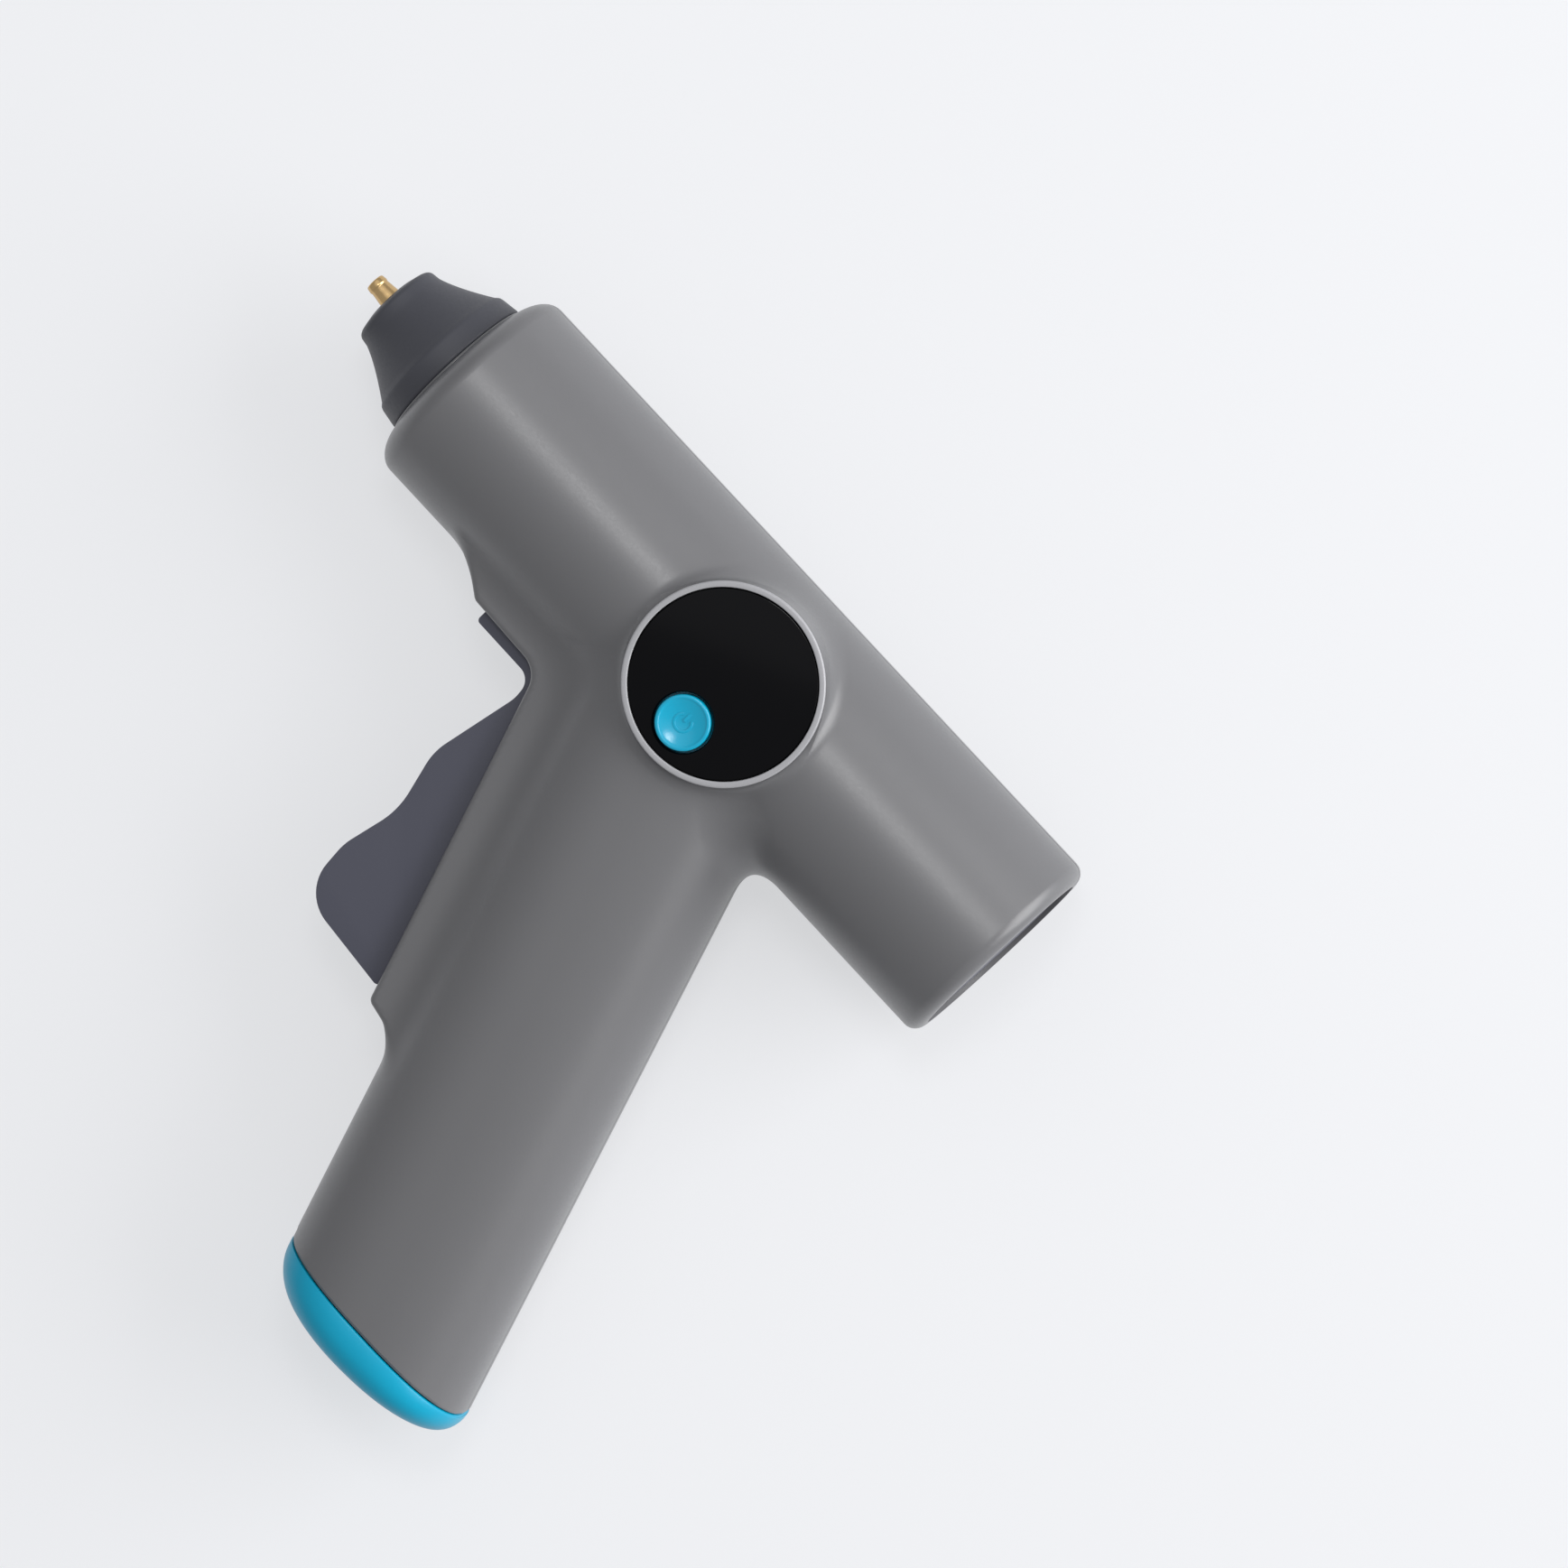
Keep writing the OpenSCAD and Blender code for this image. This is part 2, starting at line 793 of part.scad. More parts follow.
module display_module() {
    color("black")
        translate([-display_at, 0, board_top + 0.02])
            box_at([-11.5, -2.4, 0], [11.5, 10.6, 2.4]);
}

module control_board() {
    color(board_green)
        difference() {
            translate([-display_at, 0, board_top - board_t])
                cylinder(r = board_r, h = board_t);
            at_board_screws()
                translate([0, 0, board_top - board_t - cut])
                    cylinder(r = 1.2, h = board_t + 2 * cut);
        }
}

module power_button() {
    top = lens_top + button_proud;
    low = lens_low - 1.2;
    color(teal)
        translate([-display_at, button_y, 0])
            difference() {
                union() {
                    translate([0, 0, low])
                        cylinder(r = button_r, h = top - low);
                    intersection() {
                        translate([0, 0, low])
                            cylinder(r = button_r + 0.7, h = 0.9);
                        translate([0, button_down, low - cut])
                            cylinder(r = pocket_r - 0.3, h = 2 + cut);
                    }
                }
                translate([0, 0, low - cut])
                    difference() {
                        cylinder(r = button_r - 1, h = 2.6 + cut);
                        translate([0, 0, cut + 1.4])
                            cylinder(r = 1.5, h = 3);
                    }
                translate([0, 0, top + 17.6])
                    sphere(r = 18, $fn = 96);
            }
}

module button_switch() {
    color("black")
        translate([-display_at, button_y, board_top + 0.02]) {
            box_at([-2.2, -2.2, 0], [2.2, 2.2, 2]);
            translate([0, 0, 1.9])
                cylinder(r = 0.9, h = 0.8);
        }
}

module board_screws() {
    color(steel)
        at_board_screws()
            translate([0, 0, board_top - board_t - 1.2]) {
                cylinder(r = 1.9, h = 1.18);
                cylinder(r = 1, h = board_t + 4.2);
            }
}

module battery() {
    color("#2f6fb0")
        on_handle()
            translate([battery_q, -battery_top, 0])
                rotate([90, 0, 0]) {
                    cylinder(d = battery_d, h = battery_length - 1);
                    translate([0, 0, battery_length - 1.1])
                        cylinder(d = 9, h = 1.1);
                }
}

module battery_cradle() {
    r = battery_d / 2 + 0.15;
    run = battery_length - 12;
    color("dimgray")
        on_handle()
            translate([battery_q, -battery_top - 6, 0])
                rotate([90, 0, 0])
                    difference() {
                        cylinder(r = r + 1.3, h = run);
                        translate([0, 0, -cut])
                            cylinder(r = r, h = run + 2 * cut);
                        box_at([-20, -20, -cut], [20, 2, run + cut]);
                        for (z = [10, run - 22])
                            box_at([-20, 5, z], [20, 20, z + 12]);
                    }
}

module battery_tabs() {
    ends = [battery_top - 0.35, battery_top + battery_length + 0.05];
    color(steel)
        on_handle()
            for (down = ends)
                box_at([battery_q - 4, -down - 0.3, -3], [battery_q + 4, -down, 3]);
}

module charge_board() {
    z = -battery_d / 2 - 2;
    color(board_green)
        on_handle() {
            box_at([-7, -112, z - board_t], [11, -60, z]);
            box_at([-3, -84, z - board_t - 1.4], [5, -76, z - board_t + 0.1]);
            box_at([-4, -104, z - board_t - 2.2], [3, -97, z - board_t + 0.1]);
        }
}

// A bar along Y with round-ended section, as a socket has
module stadium_y(w, h, y0, y1) {
    translate([usb_x, y1, 0])
        rotate([90, 0, 0]) {
            for (side = [-1, 1])
                translate([side * (w - h) / 2, 0, 0])
                    cylinder(d = h, h = y1 - y0);
            translate([-(w - h) / 2, -h / 2, 0])
                cube([w - h, h, y1 - y0]);
        }
}

module usb_socket() {
    mouth = base_low_y + 0.8;
    color(steel)
        difference() {
            stadium_y(usb_w, usb_h, mouth, mouth + 7.2);
            stadium_y(usb_w - 0.6, usb_h - 0.6, mouth - cut, mouth + 6.2);
        }
    color("black")
        box_at([usb_x - 3.2, mouth + 0.8, -0.35], [usb_x + 3.2, mouth + 6.3, 0.35]);
}

module usb_board() {
    color(board_green)
        box_at([usb_x - 8, base_low_y + 3.4, -usb_h / 2 - 1.25],
               [usb_x + 8, base_y + 3, -usb_h / 2 - 0.05]);
}

// The dark frame inside the handle's foot
module base_frame() {
    top = base_y + 6.5;
    color(dark_grey)
        difference() {
            union() {
                intersection() {
                    handle_bar(wall + 0.25, 100, 200);
                    box_at([-200, base_y - base_seam + 0.1, -40], [100, top, 40]);
                }
                intersection() {
                    translate([0, -0.15, 0])
                        seam_notch();
                    handle_bar(0.3, 100, 200);
                    box_at([-200, base_y - base_seam + 0.1, -6.8], [100, top, 6.8]);
                }
            }
            intersection() {
                handle_bar(wall + 2, 100, 200);
                box_at([-200, base_y + 2.4, -40], [100, top + cut, 40]);
            }
            box_at([usb_x - 8.4, base_y - 5, -usb_h / 2 - 1.6],
                   [usb_x + 8.4, base_y + 10, usb_h / 2 + 0.4]);
            for (x = base_screw_at)
                translate([x, base_y + 3, 0])
                    rotate([90, 0, 0])
                        cylinder(d = screw_d - 0.2, h = 6);
        }
}

// Side and end outlines whose overlap gives the base cap its rounded lower edges
function base_side() =
    let (top = base_y + 20,
         front = from_handle(-handle_a, (handle_drop - handle_a * sin(rake)) / cos(rake)),
         back = from_handle(handle_a, (handle_drop + handle_a * sin(rake)) / cos(rake)),
         along = [tan(rake), -1])
    rounded([
        [[front.x - 20 * along.x, top], 0],
        [front + base_height * along, base_round],
        [back + base_height * along, base_round],
        [[back.x - 20 * along.x, top], 0]], 8);

module base_block(inset, top) {
    intersection() {
        handle_bar(inset, 100, 200);
        slab(base_side(), -40, 40);
        translate([usb_x, base_low_y + base_belly, -40])
            cylinder(r = base_belly - inset, h = 80, $fn = 180);
        translate([-100, 0, 0])
            rotate([90, 0, 90])
                linear_extrude(150)
                    polygon(rounded([
                        [[top + 20, handle_b], 0],
                        [[base_low_y + inset, handle_b], base_round],
                        [[base_low_y + inset, -handle_b], base_round],
                        [[top + 20, -handle_b], 0]], 8));
        box_at([-200, -300, -40], [100, top, 40]);
    }
}

module base_cap() {
    color(teal) {
        difference() {
            base_block(0, base_y - base_seam);
            base_block(2, base_y + 5);
            stadium_y(usb_w + 0.8, usb_h + 0.8, base_low_y - cut, base_y);
            base_screw_holes();
        }
        difference() {
            for (x = base_screw_at)
                translate([x, base_y - base_seam - 0.05, 0])
                    rotate([90, 0, 0])
                        cylinder(r = 3.6, h = base_height - base_seam - 1.4);
            base_screw_holes();
        }
    }
}

module base_screw_holes() {
    for (x = base_screw_at)
        translate([x, 0, 0])
            rotate([-90, 0, 0]) {
                translate([0, 0, base_low_y - cut])
                    cylinder(d = screw_d + 0.4, h = base_height + 4);
                translate([0, 0, base_low_y - cut])
                    cylinder(r = 2.5, h = base_sunk + cut);
            }
}

module housing_screws() {
    color(steel)
        for (p = screw_at)
            translate([p.x, p.y, -screw_seat])
                difference() {
                    union() {
                        translate([0, 0, -0.5])
                            cylinder(d = screw_d, h = screw_seat + screw_tip + 0.5);
                        translate([0, 0, -2])
                            cylinder(d = screw_head_d, h = 1.98);
                    }
                    screw_cross(-2.3);
                }
}

// A cross recess in a screw's head
module screw_cross(z) {
    for (turn = [0, 90])
        rotate([0, 0, turn])
            translate([-1.4, -0.3, z])
                cube([2.8, 0.6, 1.3]);
}

module base_screws() {
    color(steel)
        for (x = base_screw_at)
            translate([x, base_low_y + base_sunk, 0])
                rotate([-90, 0, 0])
                    difference() {
                        union() {
                            translate([0, 0, -1.6])
                                cylinder(d = screw_head_d - 0.6, h = 1.58);
                            translate([0, 0, -0.5])
                                cylinder(d = screw_d - 0.24, h = base_height + 0.4);
                        }
                        screw_cross(-1.9);
                    }
}

module heater_leads() {
    for (side = [-1, 1])
        color(side < 0 ? "red" : "white")
            swept([[bracket_back - bracket_t - 8, -9.4, side * 6],
                   [bracket_back + 1, -10, side * 6],
                   [bracket_back + 8, -12.5, side * 8.2],
                   [pivot_x + 4, -14, side * 10.4],
                   [pivot_x + 19.6, -13, side * 11]], 0.6, 8);
}

module battery_leads() {
    for (side = [-1, 1])
        color(side < 0 ? "red" : "black")
            swept([for (stop = [[battery_q - 6, battery_top - 1.2, 1],
                                [battery_q - 9, battery_top - 8, 4],
                                [battery_q - 11, battery_top - 20, 8.4],
                                [battery_q - 12, battery_top - 34, 10.4]])
                let (p = from_handle(stop.x + side * 1.4, stop.y))
                [p.x, p.y, stop.z]], 0.6, 8);
}

left_shell();
right_shell();
rear_cap();
nozzle_collar();
nozzle();
check_ball();
nozzle_spring();
melt_chamber();
heater_plate();
heater_clip();
thermistor();
heat_shield();
heater_bracket();
inlet_sleeve();
guide_tube();
feed_carriage();
gripper();
gripper_pin();
return_spring();
trigger();
trigger_pin();
display_lens();
display_module();
control_board();
power_button();
button_switch();
board_screws();
battery();
battery_cradle();
battery_tabs();
charge_board();
usb_socket();
usb_board();
base_frame();
base_cap();
housing_screws();
base_screws();
heater_leads();
battery_leads();
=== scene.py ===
"""Cordless hot glue gun with a round display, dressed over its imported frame.

Every sub-assembly is a class that builds its meshes in place and gives them their finish.
Sizes are in millimetres and become metres where a mesh is made. The axes are the frame's own:
X runs back along the barrel from the rear cap's face, Y up to the top of the gun with the handle
down -Y, and Z out of the side with the display.
"""
import logging
from contextlib import contextmanager
from dataclasses import dataclass, field
from enum import Enum
from math import acos, atan, atan2, copysign, cos, degrees, hypot, pi, radians, sin, sqrt, tan
from typing import Callable, Iterable, Iterator, Optional, Sequence

import bmesh
import bpy
import numpy as np
from bpy.types import Material, Node, NodeSocket, NodeTree, Object
from mathutils import Matrix, Vector


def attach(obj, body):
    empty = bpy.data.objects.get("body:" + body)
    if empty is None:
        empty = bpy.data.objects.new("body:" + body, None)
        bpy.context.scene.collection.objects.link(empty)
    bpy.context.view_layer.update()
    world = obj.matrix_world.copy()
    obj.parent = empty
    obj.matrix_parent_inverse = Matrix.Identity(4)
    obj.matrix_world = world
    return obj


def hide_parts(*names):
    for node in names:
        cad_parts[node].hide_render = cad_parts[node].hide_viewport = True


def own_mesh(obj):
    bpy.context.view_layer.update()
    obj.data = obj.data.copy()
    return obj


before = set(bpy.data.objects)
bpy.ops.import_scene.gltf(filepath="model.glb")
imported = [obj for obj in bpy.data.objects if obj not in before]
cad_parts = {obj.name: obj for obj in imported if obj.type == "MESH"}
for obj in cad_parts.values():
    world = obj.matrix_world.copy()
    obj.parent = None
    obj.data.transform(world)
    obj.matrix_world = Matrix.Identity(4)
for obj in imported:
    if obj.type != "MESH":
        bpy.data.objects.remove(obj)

LOG = logging.getLogger("glue_gun")
MM = 0.001
DOUBLES_MM = 0.002
SHARP_EDGE = radians(25)
# A colour mix's own sockets: its other inputs and outputs have the same names.
MIX_A, MIX_B, MIX_RESULT = 6, 7, 2
# The phase in radians that a wave texture of scale 1 runs through in one unit.
WAVE_PHASE = 20
Point = tuple[float, float]
Place = tuple[float, float, float]


# ---------------------------------------------------------------- sizes

@dataclass(frozen=True)
class Sizes:
    """The gun's main sizes in millimetres, the same as the construction's."""

    barrel_r: float = 20.8
    barrel_front: float = -140.6
    barrel_back: float = 0.8
    rim_round: float = 2.6
    shoulder_r: float = 14.5
    shoulder_length: float = 4.5
    wall: float = 2.2
    handle_at: float = -71.6
    rake: float = 19.2
    handle_a: float = 21.0
    handle_b: float = 19.0
    handle_power: float = 2.5
    base_y: float = -127.5
    base_low_y: float = -136.5
    base_seam: float = 0.3
    guard_half: float = 10.0
    guard_reach: float = 27.1
    guard_low: float = 83.1
    elbow_low: float = 16.8
    slot_half: float = 7.3
    pivot_x: float = -101.5
    pivot_y: float = -20.0
    display_x: float = -66.0
    boss_r: float = 18.2
    boss_top: float = 22.2
    lens_r: float = 16.9
    lens_low: float = 19.6
    lens_top: float = 21.9
    button_y: float = -9.8
    button_r: float = 5.0
    usb_x: float = -27.4
    collar_front: float = -158.3
    tip_front: float = -162.8

    def on_handle(self, back: float, down: float) -> Point:
        """A point from the handle's own measures: back from its axis, and down along it.

        Args:
            back: Millimetres back from the axis.
            down: Millimetres down along it.

        Returns:
            The point's X and Y.
        """
        turn = radians(self.rake)
        return (self.handle_at + back * cos(turn) + down * sin(turn),
                back * sin(turn) - down * cos(turn))


S = Sizes()


# ---------------------------------------------------------------- outlines

def arc_corner(a: Point, p: Point, b: Point, radius: float, steps: int) -> list[Point]:
    """Rounds one corner of an outline.

    Args:
        a: The point before the corner.
        p: The corner.
        b: The point after it.
        radius: The rounding's radius, or 0 to keep the corner.
        steps: How many pieces the arc has.

    Returns:
        The points that take the corner's place.
    """
    if radius <= 0:
        return [p]
    corner, before, after = np.array(p), np.array(a), np.array(b)
    u = (before - corner) / np.linalg.norm(before - corner)
    w = (after - corner) / np.linalg.norm(after - corner)
    half = acos(float(np.clip(u @ w, -1, 1))) / 2
    centre = corner + (u + w) / np.linalg.norm(u + w) * radius / sin(half)
    start = corner + u * radius / tan(half) - centre
    end = corner + w * radius / tan(half) - centre
    first = atan2(start[1], start[0])
    turn = (atan2(end[1], end[0]) - first + pi) % (2 * pi) - pi
    return [(float(centre[0] + radius * cos(first + turn * i / steps)),
             float(centre[1] + radius * sin(first + turn * i / steps)))
            for i in range(steps + 1)]


def rounded(rows: Sequence[tuple[Point, float]], steps: int = 8) -> list[Point]:
    """A closed outline with rounded corners.

    Args:
        rows: Each corner and its rounding's radius.
        steps: How many pieces each arc has.

    Returns:
        The outline's points.
    """
    points: list[Point] = []
    count = len(rows)
    for i, (corner, radius) in enumerate(rows):
        points += arc_corner(rows[i - 1][0], corner, rows[(i + 1) % count][0], radius, steps)
    return points


def superellipse(a: float, b: float, power: float, count: int) -> list[Point]:
    """A closed outline between an ellipse and a rectangle.

    Args:
        a: Half its size along X.
        b: Half its size along Y.
        power: 2 for an ellipse, and more for a squarer outline.
        count: How many points it has.

    Returns:
        The outline's points.
    """
    out: list[Point] = []
    for i in range(count):
        t = 2 * pi * (i + 0.5) / count
        c, s = cos(t), sin(t)
        out.append((copysign(a * abs(c) ** (2 / power), c),
                    copysign(b * abs(s) ** (2 / power), s)))
    return out


# ---------------------------------------------------------------- mesh tools

class Axis(Enum):
    """Which way a turned piece's axis runs."""

    X = (1.0, 0.0, 0.0)
    Y = (0.0, 1.0, 0.0)
    Z = (0.0, 0.0, 1.0)

    def place(self, r: float, along: float) -> Place:
        """The point at radius r and distance along this axis, in the plane a profile is drawn in.

        Args:
            r: The radius.
            along: The distance along the axis.

        Returns:
            The point.
        """
        if self is Axis.X:
            return (along, r, 0.0)
        if self is Axis.Y:
            return (r, along, 0.0)
        return (r, 0.0, along)


class Boolean(Enum):
    """How two solids are combined."""

    JOIN = "UNION"
    CUT = "DIFFERENCE"
    KEEP_COMMON = "INTERSECT"


def select_none() -> None:
    """Goes to Object Mode, with nothing selected."""
    if bpy.context.object and bpy.context.object.mode != "OBJECT":
        bpy.ops.object.mode_set(mode="OBJECT")
    bpy.ops.object.select_all(action="DESELECT")


def only(obj: Object) -> None:
    """Makes obj the one selected and active object.

    Args:
        obj: The object.
    """
    select_none()
    obj.select_set(True)
    bpy.context.view_layer.objects.active = obj


@contextmanager
def editing(obj: Object) -> Iterator[None]:
    """Opens obj in Edit Mode with all of it selected, and goes back to Object Mode after.

    Args:
        obj: The object.

    Returns:
        A context; the mesh is open while its block runs.
    """
    only(obj)
    bpy.ops.object.mode_set(mode="EDIT")
    bpy.ops.mesh.select_all(action="SELECT")
    yield
    bpy.ops.object.mode_set(mode="OBJECT")


def face_outwards() -> None:
    """Turns all faces of the mesh in Edit Mode outwards."""
    bpy.ops.mesh.select_all(action="SELECT")
    bpy.ops.mesh.normals_make_consistent(inside=False)


def get_points(obj: Object) -> np.ndarray:
    """The mesh's points, one row each, in millimetres.

    Args:
        obj: The mesh's object.

    Returns:
        The points, in the mesh's order.
    """
    out = np.empty(len(obj.data.vertices) * 3, np.float32)
    obj.data.vertices.foreach_get("co", out)
    return out.reshape(-1, 3).astype(float) / MM


def put_points(obj: Object, points: np.ndarray) -> None:
    """Moves the mesh's points to new places, in millimetres."""
    obj.data.vertices.foreach_set("co", (points * MM).astype(np.float32).ravel())
    obj.data.update()


def apply_modifier(obj: Object, kind: str, **settings: object) -> None:
    """Adds a modifier and applies it.

    Args:
        obj: The object that it changes.
        kind: The modifier's type name.
        settings: Its properties, by name.
    """
    only(obj)
    modifier = obj.modifiers.new(kind.title(), kind)
    for name, value in settings.items():
        setattr(modifier, name, value)
    bpy.ops.object.modifier_apply(modifier=modifier.name)


def combine(obj: Object, how: Boolean, *tools: Object) -> Object:
    """Combines closed solids into obj.

    Args:
        obj: The solid that is changed.
        how: Which combination.
        tools: The solids it is joined to or cut by, in order. They go.

    Returns:
        obj.
    """
    for tool in tools:
        apply_modifier(obj, "BOOLEAN", object=tool, operation=how.value, solver="MANIFOLD")
        bpy.data.objects.remove(tool, do_unlink=True)
    return obj


def join(obj: Object, *tools: Object) -> Object:
    """Joins solids to obj, in order, and returns it."""
    return combine(obj, Boolean.JOIN, *tools)


def cut(obj: Object, *tools: Object) -> Object:
    """Cuts solids out of obj, in order, and returns it."""
    return combine(obj, Boolean.CUT, *tools)


def ring_of(name: str, places: Sequence[Place], filled: bool) -> Object:
    """A closed loop of points, made from a circle primitive.

    Args:
        name: The new object's name.
        places: The points' places in millimetres, in order.
        filled: True to put a face in the loop.

    Returns:
        The new object.
    """
    select_none()
    bpy.ops.mesh.primitive_circle_add(vertices=len(places), radius=MM,
                                      fill_type="NGON" if filled else "NOTHING")
    obj = bpy.context.object
    obj.name = obj.data.name = name
    put_points(obj, np.array(places, dtype=float))
    return obj


def prism(name: str, outline: Sequence[Point], low: float, high: float) -> Object:
    """A flat outline in the XY plane, extruded along Z.

    Args:
        name: The new object's name.
        outline: Its corners, in order.
        low: The Z of its lower face.
        high: The Z of its upper face.

    Returns:
        The new object.
    """
    obj = ring_of(name, [(x, y, low) for x, y in outline], filled=True)
    with editing(obj):
        bpy.ops.mesh.extrude_region_move(
            TRANSFORM_OT_translate={"value": (0, 0, (high - low) * MM)})
        face_outwards()
    return obj


def turned(name: str, profile: Sequence[Point], axis: Axis, centre: Place = (0, 0, 0),
           steps: int = 96) -> Object:
    """Spins a closed profile of (radius, distance along) points into a solid.

    Args:
        name: The new object's name.
        profile: Closed outline; points on the axis are merged into poles.
        axis: The axis's direction.
        centre: A point on the axis, in millimetres.
        steps: Pieces round the turn.

    Returns:
        The new object.
    """
    shift = Vector(centre)
    obj = ring_of(name, [tuple(Vector(axis.place(r, along)) + shift) for r, along in profile],
                  filled=False)
    with editing(obj):
        bpy.ops.mesh.spin(steps=steps, angle=2 * pi, center=tuple(shift * MM),
                          axis=axis.value)
    with editing(obj):
        bpy.ops.mesh.remove_doubles(threshold=DOUBLES_MM * MM)
        bpy.ops.mesh.dissolve_degenerate(threshold=DOUBLES_MM * MM / 2)
        bpy.ops.mesh.normals_make_consistent(inside=False)
    return obj


def block(name: str, low: Place, high: Place) -> Object:
    """A plain block between two corners, used as a cutter or joined to other solids."""
    return prism(name, [(low[0], low[1]), (high[0], low[1]), (high[0], high[1]),
                        (low[0], high[1])], low[2], high[2])


def rod(name: str, r: float, start: Place, length: float, axis: Axis,
        steps: int = 48) -> Object:
    """A round solid from start along axis, used as a cutter or joined to other solids."""
    return turned(name, [(0, 0), (r, 0), (r, length), (0, length)], axis, start, steps)


def turn_about(obj: Object, angle: float, axis: Axis, centre: Place) -> None:
    """Turns a mesh by an angle in degrees about an axis through centre, by the right-hand rule.

    Args:
        obj: The mesh's object.
        angle: The angle in degrees.
        axis: The axis's direction.
        centre: A point on the axis, in millimetres.
    """
    middle = Matrix.Translation(Vector(centre) * MM)
    turn = Matrix.Rotation(radians(angle), 4, Vector(axis.value))
    obj.data.transform(middle @ turn @ middle.inverted())


def stand(obj: Object, at: Place, angle: float, axis: Axis) -> None:
    """Turns a mesh by an angle in degrees about an axis through the origin, then moves it."""
    obj.data.transform(Matrix.Translation([v * MM for v in at])
                       @ Matrix.Rotation(radians(angle), 4, axis.name))


def bevel_edges(obj: Object, width: float, segments: int,
                chosen: Callable[[Vector, Vector], bool]) -> None:
    """Rounds the sharp edges that chosen picks.

    Args:
        obj: The piece.
        width: The rounding's size in millimetres.
        segments: Pieces across the rounding.
        chosen: Takes an edge's two ends in millimetres and says whether it is rounded.
    """
    with editing(obj):
        bpy.ops.mesh.select_all(action="DESELECT")
        mesh = bmesh.from_edit_mesh(obj.data)
        for edge in mesh.edges:
            if len(edge.link_faces) == 2 and edge.calc_face_angle(0) > SHARP_EDGE:
                edge.select_set(chosen(*(v.co / MM for v in edge.verts)))
        bmesh.update_edit_mesh(obj.data)
        bpy.ops.mesh.bevel(offset=width * MM, segments=segments, affect="EDGES",
                           clamp_overlap=True)


def copies_joined(obj: Object, shifts: Sequence[Place]) -> Object:
    """Turns one piece into several copies of it, joined as one object.

    Args:
        obj: The piece, which goes.
        shifts: How far each copy is moved, in millimetres.

    Returns:
        The joined copies.
    """
    made = []
    for shift in shifts:
        copy = obj.copy()
        copy.data = obj.data.copy()
        copy.data.transform(Matrix.Translation(Vector(shift) * MM))
        bpy.context.collection.objects.link(copy)
        made.append(copy)
    bpy.data.objects.remove(obj, do_unlink=True)
    only(made[0])
    for copy in made:
        copy.select_set(True)
    bpy.ops.object.join()
    return bpy.context.object


# ---------------------------------------------------------------- finishes

def linear(code: str) -> tuple[float, float, float, float]:
    """Turns an sRGB hex colour, such as "#1b9cbb", into linear light.

    Args:
        code: The colour's code.

    Returns:
        Red, green and blue, and an alpha of 1.
    """
    values = [int(code[i:i + 2], 16) / 255 for i in (1, 3, 5)]
    return tuple(v / 12.92 if v <= 0.04045 else ((v + 0.055) / 1.055) ** 2.4
                 for v in values) + (1.0,)


def add_node(tree: NodeTree, kind: str,
             settings: Optional[dict[str | int, object]] = None,
             links: Optional[dict[str | int, NodeSocket]] = None) -> Node:
    """Adds one node to a material.

    Args:
        tree: The material's node tree.
        kind: The node's type name.
        settings: Properties by name, or socket values by the socket's name or number.
        links: Output sockets to link, by the name or number of this node's input socket.

    Returns:
        The new node.
    """
    made = tree.nodes.new(kind)
    for name, value in (settings or {}).items():
        if isinstance(name, int) or name in made.inputs:
            made.inputs[name].default_value = value
        else:
            setattr(made, name, value)
    for name, socket in (links or {}).items():
        tree.links.new(socket, made.inputs[name])
    return made


@dataclass(frozen=True)
class Finish:
    """What every finish has: a name for the real stuff and a slot name for it."""

    name: str
    slot: str
    colour: str
    roughness: float

    def material(self) -> Material:
        """The finish's material, made once and then shared.

        Returns:
            The material.
        """
        known = bpy.data.materials.get(self.name)
        if known:
            return known
        made = bpy.data.materials.new(self.name)
        made.use_nodes = True
        made.diffuse_color = linear(self.colour)
        tree = made.node_tree
        shader = tree.nodes["Principled BSDF"]
        shader.inputs["Base Color"].default_value = linear(self.colour)
        shader.inputs["Roughness"].default_value = self.roughness
        self.dress(tree, shader)
        return made

    def dress(self, tree: NodeTree, shader: Node) -> None:
        """Adds this finish's own pattern. The plain one has none."""

    def place(self, tree: NodeTree) -> NodeSocket:
        """The surface point in the piece's own coordinates."""
        return add_node(tree, "ShaderNodeTexCoord").outputs["Object"]

    def vary(self, tree: NodeTree, shader: Node,
             factor: NodeSocket, other: str, amount: float) -> None:
        """Mixes the base colour towards another colour by a pattern.

        Args:
            tree: The material's node tree.
            shader: Its shader.
            factor: The pattern, from 0 to 1.
            other: The other colour.
            amount: How much of it shows where the pattern is 1.
        """
        level = add_node(tree, "ShaderNodeMath", {"operation": "MULTIPLY", 1: amount},
                         {0: factor})
        mixed = add_node(tree, "ShaderNodeMix",
                         {"data_type": "RGBA", MIX_A: linear(self.colour), MIX_B: linear(other)},
                         {"Factor": level.outputs[0]})
        tree.links.new(mixed.outputs[MIX_RESULT], shader.inputs["Base Color"])


